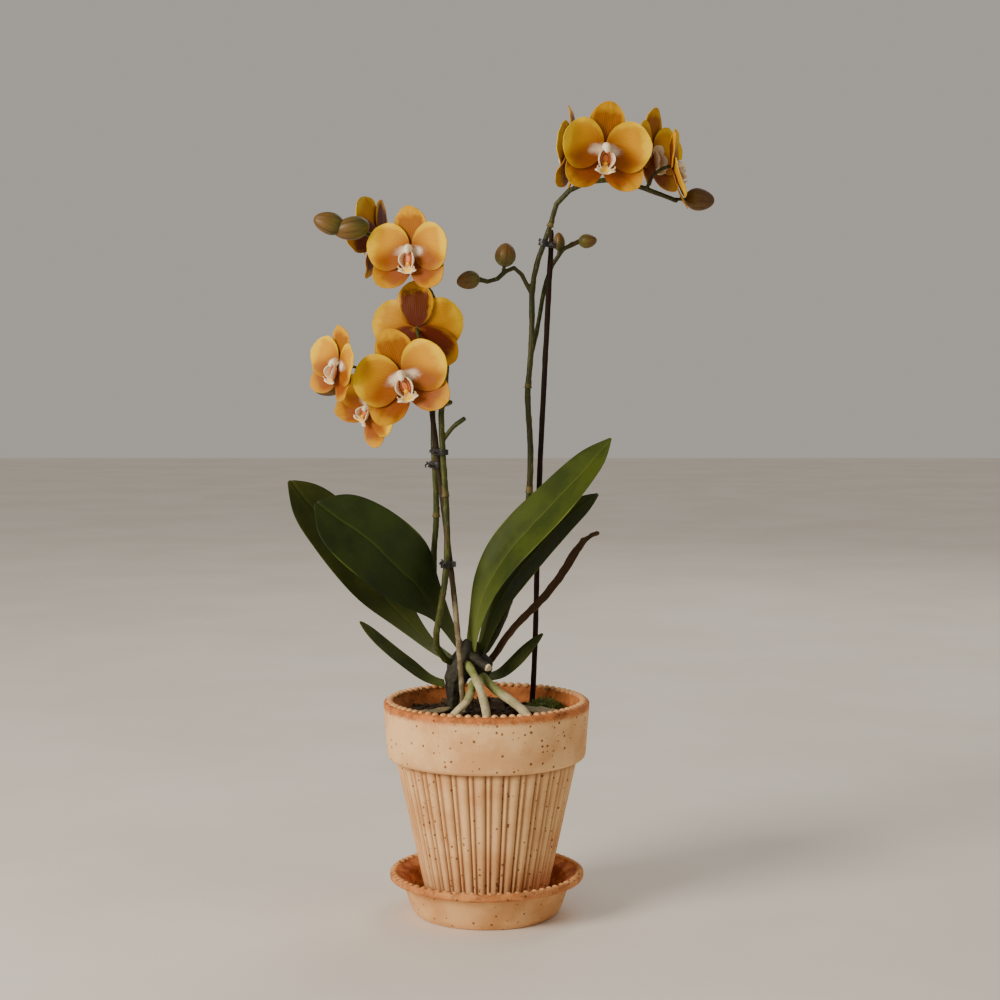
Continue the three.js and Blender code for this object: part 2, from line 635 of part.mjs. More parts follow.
function lyingPiece({ centre, length, width, angle, curl, thickness }) {
  const along = new THREE.Vector3(Math.cos(angle * DEGREE), Math.sin(angle * DEGREE), 0);
  const across = new THREE.Vector3(-along.y, along.x, 0);
  return bentPlate(SCRAP.alongSteps, SCRAP.acrossSteps, (u, v, w) => {
    const share = Math.sqrt(Math.max(SCRAP.endShare, 1 - (2 * u - 1) ** 2));
    const spot = new THREE.Vector3(centre[0], centre[1], 0);
    spot.addScaledVector(along, (u - 0.5) * length).addScaledVector(across, (v * width * share) / 2);
    const seat = surfaceAt(spot.x, spot.y) + MEDIUM.unevenness / 2 + GAP;
    spot.z = seat + thickness / 2 + w * thickness + curl * ((2 * u - 1) ** 2 + SCRAP.cupping * v * v);
    return spot;
  });
}

const DRY_LEAVES = {
  dry_leaf_left: { centre: [-38, -8], length: 28, width: 11, angle: 4, curl: 1.4, thickness: 1 },
  dry_leaf_front: { centre: [-31, -33], length: 17, width: 6, angle: 22, curl: 1.2, thickness: 1 },
  dry_leaf_right: { centre: [34, -4], length: 36, width: 17, angle: -12, curl: 1.6, thickness: 1.2 },
};

// The mound's underside is an egg pressed nearly flat.
const MOSS = {
  centre: [40, 22, 0], radii: [13, 9, 5.5], turn: [0, 0, 12], underside: 0.12, sides: 14, rings: 8,
};

function moss() {
  const mound = ellipsoid(MOSS.centre, MOSS.radii, MOSS.turn, MOSS.sides, MOSS.rings);
  const spots = mound.attributes.position;
  const depth = MOSS.underside * MOSS.radii[2];
  for (let i = 0; i < spots.count; i += 1) {
    const seat = surfaceAt(spots.getX(i), spots.getY(i)) + MEDIUM.unevenness + GAP;
    const rise = spots.getZ(i);
    spots.setZ(i, seat + depth + (rise > 0 ? rise : MOSS.underside * rise));
  }
  return mound;
}

// ---------------------------------------------------------------- assembly

// Colour and roughness of each material.
const FINISH = {
  clay: ['#d9b08c', 0.9], saucerClay: ['#d8ab84', 0.9], medium: ['#2b2018', 1], crown: ['#4a3f22', 0.7],
  root: ['#b9b48e', 0.8], leaf: ['#24471c', 0.45], withered: ['#33241a', 0.6], stalk: ['#5c6b2a', 0.5],
  stake: ['#2a1c14', 0.7], tie: ['#141210', 0.4], dryLeaf: ['#6f6247', 0.9], moss: ['#4a5a1e', 1],
  sepal: ['#d98a12', 0.55], petal: ['#f2a91b', 0.5], lip: ['#f6e2c4', 0.5],
};

const plant = new THREE.Group();
plant.position.z = MEDIUM_TOP;

const potted = new THREE.Group();
potted.name = 'potted_orchid';
potted.add(plant);

function addPiece(parent, name, shape, [color, roughness]) {
  const geometry = shape.isBufferGeometry ? shape : geometryOf(shape);
  const mesh = new THREE.Mesh(geometry, new THREE.MeshStandardMaterial({ color, roughness, metalness: 0 }));
  mesh.name = name;
  parent.add(mesh);
}

const crownSolid = crown();
const crownClearance = crown(GAP);
const stakeClearances = Object.keys(STAKE_LINES).map((side) => solidOf(stake(side, GAP)));
const rootTubes = Object.entries(ROOTS).map(([name, { line, radius }]) => {
  const tube = (extra) => taperedTube(curveThrough(line), () => radius + extra, ROOT.sides, ROOT.steps);
  return { name, tube };
});
const rootClearances = rootTubes.map(({ tube }) => solidOf(tube(GAP)));

addPiece(potted, 'saucer', saucerGeometry(), FINISH.saucerClay);
addPiece(potted, 'pot', potSolid(), FINISH.clay);

const planted = [crownClearance, ...stakeClearances, ...rootClearances];
const pockets = planted.map((tool) => tool.translate([0, 0, MEDIUM_TOP]));
addPiece(potted, 'growing_medium', without(mediumGeometry(), pockets), FINISH.medium);

addPiece(plant, 'crown', crownSolid, FINISH.crown);
rootTubes.forEach(({ name, tube }) => {
  addPiece(plant, name, without(tube(0), [crownClearance]), FINISH.root);
});
Object.entries(LEAVES).forEach(([name, shape]) => {
  const finish = name === 'leaf_withered' ? FINISH.withered : FINISH.leaf;
  addPiece(plant, name, without(leaf(shape), [crownClearance]), finish);
});
Object.keys(STALKS).forEach((name) => {
  const whole = largest(joined(floweringStalk(name)).subtract(crownClearance));
  addPiece(plant, `flower_stalk_${name}`, whole, FINISH.stalk);
});
Object.keys(STAKE_LINES).forEach((side) => addPiece(plant, `stake_${side}`, stake(side), FINISH.stake));

addPiece(plant, 'tie_left_low', tie('left_front', 'left', 103), FINISH.tie);
addPiece(plant, 'tie_left_high', tie('left_front', 'left', 178), FINISH.tie);
addPiece(plant, 'tie_left_back', tie('left_back', 'left', 169), FINISH.tie);
addPiece(plant, 'tie_right', tie('right', 'right', 318), FINISH.tie);

Object.entries(DRY_LEAVES).forEach(([name, shape]) => addPiece(plant, name, lyingPiece(shape), FINISH.dryLeaf));
addPiece(plant, 'moss', moss(), FINISH.moss);

FLOWERS.forEach((flower, index) => {
  const { frame, place, scale } = flowerFrame(flower);
  const bloom = new THREE.Group();
  bloom.quaternion.setFromRotationMatrix(frame);
  bloom.position.copy(place);
  bloom.scale.setScalar(scale);
  plant.add(bloom);
  const name = `flower_${index + 1}`;
  addPiece(bloom, `${name}_sepals`, sepals(), FINISH.sepal);
  addPiece(bloom, `${name}_petals`, petals(), FINISH.petal);
  addPiece(bloom, `${name}_lip`, lip(), FINISH.lip);
});

export default potted;
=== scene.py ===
# %% [markdown]
# # A moth orchid in a fluted clay pot
# The plant has two flowering stalks on the left, one on the right, ten open flowers and a
# handful of buds. It stands in a slip-coated clay pot on a saucer. This lesson builds the
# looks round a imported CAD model, which already holds the true sizes and places. Each piece
# made here takes its place from a CAD node and then stands for that node.

# %% Load the CAD frame
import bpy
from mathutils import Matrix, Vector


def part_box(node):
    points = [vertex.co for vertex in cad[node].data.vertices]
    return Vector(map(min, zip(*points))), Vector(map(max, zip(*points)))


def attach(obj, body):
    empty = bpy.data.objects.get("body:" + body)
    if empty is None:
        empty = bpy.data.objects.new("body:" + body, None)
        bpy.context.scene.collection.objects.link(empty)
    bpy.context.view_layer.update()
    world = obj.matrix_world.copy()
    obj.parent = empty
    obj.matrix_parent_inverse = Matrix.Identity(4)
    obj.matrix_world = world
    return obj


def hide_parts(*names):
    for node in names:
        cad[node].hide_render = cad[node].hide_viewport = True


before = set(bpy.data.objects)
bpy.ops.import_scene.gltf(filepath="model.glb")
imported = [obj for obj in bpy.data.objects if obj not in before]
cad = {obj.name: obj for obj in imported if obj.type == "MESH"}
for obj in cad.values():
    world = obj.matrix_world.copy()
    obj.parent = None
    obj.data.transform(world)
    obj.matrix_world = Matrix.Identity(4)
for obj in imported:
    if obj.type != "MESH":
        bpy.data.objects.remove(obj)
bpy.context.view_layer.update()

# %% [markdown]
# ## Tools used all the way through
# Blender's operators act on everything that is selected, so each step first picks just the
# piece it means. A modifier is added, given its settings and applied at once, so that every
# piece ends as a plain mesh. Lengths are written in millimetres and turned into metres.

# %% Selecting, editing and applying
import math
import random

import bpy
import numpy as np
from mathutils import Matrix, Vector, noise
from mathutils.bvhtree import BVHTree

MM = 0.001


def pick(*pieces):
    bpy.ops.object.select_all(action="DESELECT")
    for piece in pieces:
        piece.select_set(True)
    bpy.context.view_layer.objects.active = pieces[0]


def start_editing(piece):
    pick(piece)
    bpy.ops.object.mode_set(mode="EDIT")
    bpy.ops.mesh.select_all(action="SELECT")


def stop_editing():
    bpy.ops.object.mode_set(mode="OBJECT")


def start_from(primitive, name, **settings):
    # Adds a primitive while nothing else is selected, and names it.
    bpy.ops.object.select_all(action="DESELECT")
    primitive(**settings)
    piece = bpy.context.active_object
    piece.name = name
    return piece


def copy_of(piece, name):
    # A copy with a mesh of its own.
    copy = bpy.data.objects.new(name, piece.data.copy())
    bpy.context.collection.objects.link(copy)
    return copy


def apply_modifier(piece, kind, **settings):
    pick(piece)
    modifier = piece.modifiers.new(kind.title(), kind)
    for setting, value in settings.items():
        setattr(modifier, setting, value)
    bpy.ops.object.modifier_apply(modifier=modifier.name)


def join_pieces(pieces, name):
    pick(*pieces)
    if len(pieces) > 1:
        bpy.ops.object.join()
    whole = bpy.context.view_layer.objects.active
    whole.name = name
    whole.data.name = name
    return whole


def settle(piece):
    # Puts a piece's place into its vertices, so that the object stays at the origin.
    pick(piece)
    bpy.ops.object.transform_apply(location=True, rotation=True, scale=True)

# %% [markdown]
# ## Reading the CAD model
# A CAD node's vertices are where the real surface is. They are read into arrays to find
# radii, heights and centre lines. A copy of a CAD mesh comes as loose triangles, so it is
# merged and its triangles are paired back into quads before anything is done to it.

# %% Points of a node, and a welded copy of it


def points_of(piece):
    points = np.empty(len(piece.data.vertices) * 3)
    piece.data.vertices.foreach_get("co", points)
    return points.reshape(-1, 3)


def set_points(piece, points):
    piece.data.vertices.foreach_set("co", np.asarray(points, dtype=float).ravel())
    piece.data.update()


WELD_DISTANCE = 0.02 * MM
PAIRING_ANGLE = math.radians(60)


def welded_copy(node, name):
    piece = copy_of(cad[node], name)
    start_editing(piece)
    bpy.ops.mesh.customdata_custom_splitnormals_clear()
    bpy.ops.mesh.remove_doubles(threshold=WELD_DISTANCE)
    bpy.ops.mesh.tris_convert_to_quads(face_threshold=PAIRING_ANGLE, shape_threshold=PAIRING_ANGLE)
    stop_editing()
    for layer in list(piece.data.uv_layers):
        piece.data.uv_layers.remove(layer)
    return piece


def normals_of(piece):
    normals = np.empty(len(piece.data.vertices) * 3)
    piece.data.vertices.foreach_get("normal", normals)
    return normals.reshape(-1, 3)


def rounded_copy(node, name, levels=3):
    piece = welded_copy(node, name)
    apply_modifier(piece, "SUBSURF", levels=levels, render_levels=levels)
    return piece


def noise_over(points, size, shift=(0, 0, 0)):
    # One smooth random number, from -1 to 1, for each point.
    return np.array([noise.noise(Vector(p) / size + Vector(shift)) for p in points])


def roughen(piece, height, size, seed):
    # Moves each vertex along its normal by smooth noise with bumps of about this size.
    points, normals = points_of(piece), normals_of(piece)
    shift = Vector((seed * 7.3, seed * 3.1, seed * 5.7))
    swell = np.array([noise.fractal(Vector(p) / size + shift, 1.0, 2.0, 3) for p in points])
    set_points(piece, points + normals * swell[:, None] * height)


def attribute(piece, name, values):
    layer = piece.data.attributes.new(name, "FLOAT", "POINT")
    layer.data.foreach_set("value", np.asarray(values, dtype=np.float32))


def set_uv(piece, along, across):
    layer = piece.data.uv_layers.new(name="surface")
    corners = np.empty(len(piece.data.loops), dtype=np.int32)
    piece.data.loops.foreach_get("vertex_index", corners)
    layer.data.foreach_set("uv", np.stack([along, across], 1)[corners].ravel())

# %% [markdown]
# ## How every piece ends
# A finished piece gets its materials, faces that point outwards and smooth shading, and it
# rides on the plant's one body. Blender can work out by itself which way is out, but on a
# thin curved leaf it can be wrong. A closed mesh that is inside out encloses less than
# nothing, so its volume is measured afterwards and shows whether to turn the faces round.

# %% Pointing outwards, and finishing
SHARPEST_SMOOTH = math.radians(50)


def triangles_of(piece):
    return sum(len(face.vertices) - 2 for face in piece.data.polygons)


def volume_of(piece):
    # What the faces enclose, in cubic metres. It is below zero when they point inwards.
    mesh = piece.data
    mesh.calc_loop_triangles()
    corners = np.empty(len(mesh.loop_triangles) * 3, dtype=np.int32)
    mesh.loop_triangles.foreach_get("vertices", corners)
    first, second, third = points_of(piece)[corners].reshape(-1, 3, 3).swapaxes(0, 1)
    return (first * np.cross(second, third)).sum() / 6


def point_outwards(piece):
    start_editing(piece)
    bpy.ops.mesh.normals_make_consistent(inside=False)
    stop_editing()
    if volume_of(piece) < 0:
        start_editing(piece)
        bpy.ops.mesh.flip_normals()
        stop_editing()
        print(f"{piece.name}: turned to face outwards")


def finished(piece, slot, *nodes, materials=()):
    piece.data.materials.clear()
    for material in materials:
        piece.data.materials.append(material)
    point_outwards(piece)
    bpy.ops.object.shade_smooth_by_angle(angle=SHARPEST_SMOOTH)
    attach(piece, "root")
    if nodes:
        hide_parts(*nodes)
    print(f"{piece.name}: {triangles_of(piece)} triangles")

# %% [markdown]
# ## Finishes
# Every finish is a small network of nodes. The helper below adds a node, sets or links its
# sockets and returns its first output, which keeps each recipe to a few readable lines.
# Numbers that are the same all over a surface go straight onto the shader.

# %% A helper for material recipes


class Recipe:
    def __init__(self, name):
        self.material = bpy.data.materials.new(name)
        self.material.use_nodes = True
        self.tree = self.material.node_tree
        self.shader = self.tree.nodes["Principled BSDF"]

    def plug(self, socket, value):
        if isinstance(value, bpy.types.NodeSocket):
            self.tree.links.new(value, socket)
        elif socket.type == "RGBA":
            socket.default_value = (*value, 1.0)[:4]
        else:
            socket.default_value = value

    def add(self, kind, inputs=(), output=0, **settings):
        node = self.tree.nodes.new(kind)
        for setting, value in settings.items():
            setattr(node, setting, value)
        for socket, value in dict(inputs).items():
            self.plug(node.inputs[socket], value)
        return node.outputs[output]

    def place(self):
        return self.add("ShaderNodeTexCoord", output="Object")

    def uv(self):
        split = self.add("ShaderNodeSeparateXYZ", {0: self.add("ShaderNodeUVMap", uv_map="surface")})
        return split, split.node.outputs[1]

    def painted(self, name):
        # Reads an attribute that the piece's own vertices carry.
        return self.add("ShaderNodeAttribute", output="Fac", attribute_name=name)

    def stretched(self, scale):
        return self.add("ShaderNodeMapping", {"Vector": self.place(), "Scale": scale})

    def noise(self, size, detail=3.0, roughness=0.55, vector=None):
        return self.add("ShaderNodeTexNoise", {
            "Vector": vector or self.place(), "Scale": 1 / (size * MM),
            "Detail": detail, "Roughness": roughness,
        })

    def streaks(self, along, across, often_along, often_across, scale=1.0, detail=3.0, roughness=0.5):
        # Noise that changes slowly along a piece and quickly across it.
        place = self.add("ShaderNodeCombineXYZ", {
            0: self.maths("MULTIPLY", along, often_along), 1: self.maths("MULTIPLY", across, often_across),
        })
        return self.add("ShaderNodeTexNoise", {
            "Vector": place, "Scale": scale, "Detail": detail, "Roughness": roughness,
        })

    def spots(self, size):
        return self.add("ShaderNodeTexVoronoi", {"Vector": self.place(), "Scale": 1 / (size * MM)})

    def maths(self, operation, first, second=0.0):
        return self.add("ShaderNodeMath", {0: first, 1: second}, operation=operation)

    def stripes(self, factor, count):
        # Runs from 0.5 to 0 and back to 0.5, once for each stripe.
        part = self.maths("FRACT", self.maths("MULTIPLY", factor, count))
        return self.maths("ABSOLUTE", self.maths("SUBTRACT", part, 0.5))

    def band(self, factor, low, high, start=0.0, end=1.0):
        # Runs from start to end as the factor goes from low to high.
        return self.add("ShaderNodeMapRange", {
            "Value": factor, "From Min": low, "From Max": high, "To Min": start, "To Max": end,
        }, interpolation_type="SMOOTHSTEP")

    def mix(self, factor, first, second):
        # The Mix node's colour sockets are numbers 6 and 7, and its colour output is number 2.
        out = self.add("ShaderNodeMix", output=2, data_type="RGBA")
        self.plug(out.node.inputs[0], factor)
        self.plug(out.node.inputs[6], first)
        self.plug(out.node.inputs[7], second)
        return out

    def bump(self, height, depth, strength=1.0, under=None):
        inputs = {"Height": height, "Distance": depth * MM, "Strength": strength}
        if under is not None:
            inputs["Normal"] = under
        return self.add("ShaderNodeBump", inputs)

    def finish(self, colour, roughness, normal=None, **plain):
        self.plug(self.shader.inputs["Base Color"], colour)
        self.plug(self.shader.inputs["Roughness"], roughness)
        if normal is not None:
            self.plug(self.shader.inputs["Normal"], normal)
        for socket, value in plain.items():
            self.plug(self.shader.inputs[socket.replace("_", " ")], value)
        return self.material


def rgb(code):
    # Turns a hex colour into the linear values that shaders use.
    parts = [int(code[i:i + 2], 16) / 255 for i in (0, 2, 4)]
    return tuple(p / 12.92 if p <= 0.04045 else ((p + 0.055) / 1.055) ** 2.4 for p in parts)

# %% [markdown]
# ## Clay covered with slip
# The pot and saucer are red-orange clay under a thin cream slip. The slip is speckled with
# brown spots and is worn through to the clay on the rims, and shade is painted into the
# pot's grooves and under its collar. Wear and painted shade are a matter of place, so both
# are read from mesh attributes that each piece fills in. The spots come from a cell pattern
# in which each cell sets the size of its own.

# %% Slip-coated clay


def slip_clay(name, slip_light, slip_dark, clay_light, clay_dark):
    r = Recipe(name)
    bare = r.painted("bare_clay")
    cloud = r.noise(28, 4)
    grain = r.noise(1.6, 5, 0.7)
    slip = r.mix(r.band(cloud, 0.35, 0.68), slip_light, slip_dark)
    slip = r.mix(r.band(grain, 0.5, 0.8, 0, 0.35), slip, slip_dark)
    clay = r.mix(r.band(r.noise(9, 4), 0.35, 0.65), clay_light, clay_dark)
    ragged = r.maths("ADD", bare, r.band(grain, 0.3, 0.7, -0.14, 0.14))
    colour = r.mix(r.band(ragged, 0.2, 0.85), slip, clay)
    # Painted shade: where the piece's groove attribute is set, in the grooves and under the collar, the
    # colour is darkened towards brown.
    shade = r.painted("groove")
    colour = r.mix(r.maths("MULTIPLY", shade, 0.8), colour, rgb("84583a"))
    # A cell's own random colour sets how large its spot is. A third of the cells carry none.
    cell = r.spots(3.7)
    chance = r.add("ShaderNodeSeparateColor", {0: cell.node.outputs["Color"]})
    size = r.maths("MULTIPLY", r.band(chance, 0.35, 0.95), 0.25)
    edge = r.maths("ADD", cell.node.outputs["Distance"], r.band(r.noise(1.2), 0.3, 0.7, -0.05, 0.05))
    spot = r.maths("MULTIPLY", r.maths("LESS_THAN", edge, size), 0.85)
    colour = r.mix(spot, colour, rgb("6e3a16"))
    # Finer dots lie between them, in one cell out of six of a closer pattern.
    fine = r.spots(1.9)
    chance = r.add("ShaderNodeSeparateColor", {0: fine.node.outputs["Color"]})
    inside_dot = r.maths("LESS_THAN", fine.node.outputs["Distance"], 0.16)
    dot = r.maths("MULTIPLY", r.maths("GREATER_THAN", chance, 0.84), inside_dot)
    colour = r.mix(r.maths("MULTIPLY", dot, 0.65), colour, rgb("8a5226"))
    relief = r.bump(grain, 0.16, 0.6, r.bump(r.maths("SUBTRACT", 1.0, spot), 0.25, 0.7))
    return r.finish(colour, r.band(grain, 0.2, 0.8, 0.72, 0.92), relief, Specular_IOR_Level=0.3)


pot_clay = slip_clay("pot_slip", rgb("f0c288"), rgb("d8a06a"), rgb("cc7a40"), rgb("a05a2a"))
saucer_clay = slip_clay("saucer_slip", rgb("dfae76"), rgb("c48e58"), rgb("d08040"), rgb("9c4e1c"))
print("clay finishes ready")

# %% [markdown]
# ## The saucer
# A shallow dish with sloping walls and a rolled lip. On a wheel it would be thrown, and the
# same idea works here: a circle is extruded and resized station by station, up the outside,
# over the lip and down the inside. The stations are read from the CAD saucer, with extra
# ones between them that round the lip.

# %% Throwing a round piece from a list of stations


def thrown(name, stations, sides):
    # Each station is a radius and a height; the ring is extruded from one to the next.
    radius, height = stations[0]
    circle = bpy.ops.mesh.primitive_circle_add
    piece = start_from(circle, name, vertices=sides, radius=radius, location=(0, 0, height))
    start_editing(piece)
    for next_radius, next_height in stations[1:]:
        rise = next_height - height
        bpy.ops.mesh.extrude_region_move(TRANSFORM_OT_translate={"value": (0, 0, rise)})
        grow = next_radius / radius
        bpy.ops.transform.resize(value=(grow, grow, 1), center_override=(0, 0, next_height))
        radius, height = next_radius, next_height
    stop_editing()
    settle(piece)
    return piece


def close_ends(piece):
    # Draws the open ring at each end of the run of stations in to a middle point.
    for _ in range(2):
        start_editing(piece)
        bpy.ops.mesh.select_all(action="DESELECT")
        bpy.ops.mesh.select_non_manifold(extend=False)
        stop_editing()
        open_rings = [v.index for v in piece.data.vertices if v.select]
        if not open_rings:
            return
        level = piece.data.vertices[open_rings[0]].co.z
        start_editing(piece)
        bpy.ops.mesh.select_all(action="DESELECT")
        stop_editing()
        for index in open_rings:
            vertex = piece.data.vertices[index]
            vertex.select = abs(vertex.co.z - level) < 0.001 * MM
        for edge in piece.data.edges:
            edge.select = all(piece.data.vertices[i].select for i in edge.vertices)
        bpy.ops.object.mode_set(mode="EDIT")
        bpy.ops.mesh.extrude_region()
        bpy.ops.mesh.merge(type="CENTER")
        stop_editing()


def rounded(corners, reach, steps=4):
    # Replaces each inner corner of a run of stations with a small curve.
    out = [corners[0]]
    for before, corner, after in zip(corners, corners[1:], corners[2:]):
        before, corner, after = Vector(before), Vector(corner), Vector(after)
        back = (before - corner).normalized() * min(reach, (before - corner).length * 0.45)
        ahead = (after - corner).normalized() * min(reach, (after - corner).length * 0.45)
        for step in range(steps + 1):
            t = step / steps
            spot = corner + back * (1 - t) ** 2 + ahead * t ** 2
            out.append(tuple(spot))
    return out + [corners[-1]]

# %% The saucer's own stations


def stations_of(node):
    # The radius and height of every ring in a turned CAD piece, without repeats.
    points = points_of(cad[node])
    rings = {(round(math.hypot(x, y) / MM, 1), round(z / MM, 1)) for x, y, z in points}
    return sorted((r * MM, z * MM) for r, z in rings)


def by_radius(ring):
    return ring[0]


def by_height(ring):
    return ring[1]


saucer_rings = stations_of("saucer")
saucer_top = max(z for r, z in saucer_rings)
saucer_lip = max(r for r, z in saucer_rings)
saucer_floor = max(z for r, z in saucer_rings if r < 0.5 * MM)
outside = [(r, z) for r, z in saucer_rings if z < saucer_floor - MM and r > MM]
foot = min(outside, key=by_height)
corner = max(outside)
lip_under = min([(r, z) for r, z in saucer_rings if r > saucer_lip - 0.2 * MM], key=by_height)
wall_top = max([
    (r, z) for r, z in saucer_rings if corner[0] < r < saucer_lip - 2 * MM and z < lip_under[1] - MM
], key=by_radius)
lip_inner = min([(r, z) for r, z in saucer_rings if z > saucer_top - 0.2 * MM], key=by_radius)
inside = sorted([
    (r, z) for r, z in saucer_rings
    if z >= saucer_floor - 0.1 * MM and MM < r < lip_inner[0] - 0.5 * MM
    and (r, z) not in (wall_top, lip_under)
], key=by_height, reverse=True)
print(f"saucer: radius {saucer_lip / MM:.1f} mm, {saucer_top / MM:.1f} mm high, {len(inside)} inner rings")

# %% Throwing the saucer
MIDDLE_HOLE = 4 * MM
outline = [(MIDDLE_HOLE, 0.0), foot, corner, wall_top, lip_under, (saucer_lip, saucer_top), lip_inner]
outline += inside + [(MIDDLE_HOLE, saucer_floor)]
saucer = thrown("saucer_clay", rounded(outline, 1.6 * MM), 144)
close_ends(saucer)
apply_modifier(saucer, "SUBSURF", levels=1, render_levels=1)
spots = points_of(saucer)
across = np.hypot(spots[:, 0], spots[:, 1])
inner_wall = np.interp(
    spots[:, 2], [corner[1], wall_top[1], saucer_top],
    [corner[0] - 2 * MM, wall_top[0] - 1.5 * MM, lip_inner[0] + MM])
inner_side = (spots[:, 2] > saucer_floor - 0.5 * MM) & (across < inner_wall)
on_lip = (across > wall_top[0] + 1.2 * MM) & (spots[:, 2] > wall_top[1] - 0.5 * MM)
attribute(saucer, "bare_clay", np.where(inner_side, 1.0, np.where(on_lip, 0.6, 0.06)))
roughen(saucer, 0.25 * MM, 34 * MM, seed=1)
finished(saucer, "saucer_clay", "saucer", materials=[saucer_clay])

# %% [markdown]
# ## The beaded edges
# The rims of the pot and the saucer carry a row of small beads, pressed in with a roller
# while the clay was soft. One bead is shaped from a sphere, then copied round the rim. Each
# copy is sunk halfway, so that only its round back shows.

# %% One bead, copied round a rim


def beaded_ring(name, count, radius, height, size, slot, material, bare):
    sphere = bpy.ops.mesh.primitive_uv_sphere_add
    bead = start_from(sphere, "bead", segments=14, ring_count=8, radius=size, location=(radius, 0, height))
    start_editing(bead)
    bpy.ops.transform.resize(value=(1.05, 0.98, 0.8), center_override=(radius, 0, height))
    stop_editing()
    settle(bead)
    chance = random.Random(7)
    beads = [bead]
    for index in range(1, count):
        copy = copy_of(bead, "bead")
        wobble = chance.uniform(-0.06, 0.06) * MM
        turn = Matrix.Rotation(2 * math.pi * (index + chance.uniform(-0.06, 0.06)) / count, 4, "Z")
        copy.data.transform(turn @ Matrix.Translation((wobble * 2, 0, wobble)))
        beads.append(copy)
    ring = join_pieces(beads, name)
    attribute(ring, "bare_clay", np.full(len(ring.data.vertices), bare))
    finished(ring, slot, materials=[material])


beaded_ring(
    "saucer_beads", count=66, radius=lip_inner[0] + 0.2 * MM, height=saucer_top - 0.9 * MM, size=2.2 * MM,
    slot="saucer_clay", material=saucer_clay, bare=0.35)

# %% [markdown]
# ## The pot
# A straight collar stands over a tapering body that is fluted with wide and narrow ribs. The
# whole wall is thrown from one run of stations, outside first, and the body's rings are then
# pulled in between the ribs. The grooves are rounded at the bottom and painted darker than
# the ribs as shade, and a painted shadow lies in a line under the collar.

# %% Reading the pot
pot_rings = stations_of("pot")
pot_top = max(z for r, z in pot_rings)
pot_rim = max(r for r, z in pot_rings)
pot_foot = min(z for r, z in pot_rings)
drain_radius = min(r for r, z in pot_rings)
foot_radius = max(r for r, z in pot_rings if z < pot_foot + 0.2 * MM)
collar_foot = min(z for r, z in pot_rings if r > 0.9 * pot_rim)
collar_radius = max(r for r, z in pot_rings if z < collar_foot + 4 * MM)
body_top = max(r for r, z in pot_rings if abs(z - collar_foot) < 0.3 * MM and r < 0.895 * pot_rim)


def pot_outside(height):
    # The outer radius at this height, with the collar left out.
    return np.interp(height, [pot_foot, collar_foot, pot_top], [foot_radius, body_top, pot_rim])


hollow = sorted([
    (r, z) for r, z in pot_rings
    if r < 0.94 * pot_rim and z > pot_foot + 4 * MM and r < pot_outside(z) - 3.4 * MM
], key=by_height, reverse=True)
pot_floor = min(z for r, z in hollow)
print(f"pot: rim {pot_rim / MM:.1f} mm, foot {foot_radius / MM:.1f} mm")
print(f"collar from {collar_foot / MM:.1f} to {pot_top / MM:.1f} mm")

# %% Throwing the pot
# A flute is one narrow and one wide rib, and this is the narrow one's share of it.
FLUTES, NARROW = 32, 0.34
SIDES_PER_FLUTE = 16
mouth = [ring for ring in hollow if ring[0] > drain_radius + MM and ring[1] > pot_floor + 0.1 * MM]
outline = [(drain_radius, pot_foot), (foot_radius - 1.5 * MM, pot_foot), (foot_radius, pot_foot + 1.5 * MM)]
for share in np.linspace(0.04, 1, 22):
    level = pot_foot + (collar_foot - pot_foot) * share
    outline.append((foot_radius + (body_top - foot_radius) * share, level))
rim_edge = [(collar_radius - 2 * MM, collar_foot), (collar_radius, collar_foot + 2 * MM)]
for share in np.linspace(0.25, 0.94, 5):
    level = collar_foot + (pot_top - collar_foot) * share
    rim_edge.append((collar_radius + (pot_rim - collar_radius) * share, level))
rim_edge += [(pot_rim - 0.2 * MM, pot_top - 1.3 * MM)]
rim_edge += [(pot_rim - 1.3 * MM, pot_top), (pot_rim - 4.2 * MM, pot_top)]
outline += rounded([outline[-1]] + rim_edge + [mouth[0]], 1.1 * MM, 3)[1:]
outline += [(r, z) for r, z in mouth[1:]] + [(drain_radius + 6 * MM, pot_floor), (drain_radius, pot_floor)]
pot = thrown("pot_clay", outline, FLUTES * SIDES_PER_FLUTE)
start_editing(pot)
bpy.ops.mesh.select_all(action="DESELECT")
bpy.ops.mesh.select_non_manifold(extend=False)
bpy.ops.mesh.bridge_edge_loops()
stop_editing()

# %% Fluting the pot, where its clay is bare, and its painted shade
GROOVE_DEPTH = 2.0 * MM
spots = points_of(pot)
height = spots[:, 2].copy()
across = np.hypot(spots[:, 0], spots[:, 1])
around = np.arctan2(spots[:, 1], spots[:, 0])
body_radius = np.interp(height, [pot_foot, collar_foot], [foot_radius, body_top])
on_body = (height < collar_foot + 0.01 * MM) & (abs(across - body_radius) < 0.6 * MM)
phase = np.mod(around, 2 * math.pi / FLUTES) * FLUTES / (2 * math.pi)
share = np.where(phase < NARROW, phase / NARROW, (phase - NARROW) / (1 - NARROW))
groove = 1 - np.clip(np.sin(math.pi * share), 0, 1) ** np.where(phase < NARROW, 0.9, 0.55)
fade = np.clip((height - pot_foot) / (2.5 * MM), 0, 1)
depth = np.where(on_body, (groove + np.where(phase < NARROW, 0.12, 0.0)) * fade, 0.0)
spots[:, :2] *= (1 - depth * GROOVE_DEPTH / np.maximum(across, MM))[:, None]
set_points(pot, spots)
bare = np.where(across < pot_outside(height) - 2.4 * MM, 1.0, 0.04)
on_rim = (height > pot_top - 7.5 * MM) & (across > 0.9 * pot_rim)
worn = np.interp(height, [pot_top - 7.5 * MM, pot_top - 4 * MM, pot_top], [0.25, 0.72, 0.85])
attribute(pot, "bare_clay", np.where(on_rim, worn, bare))
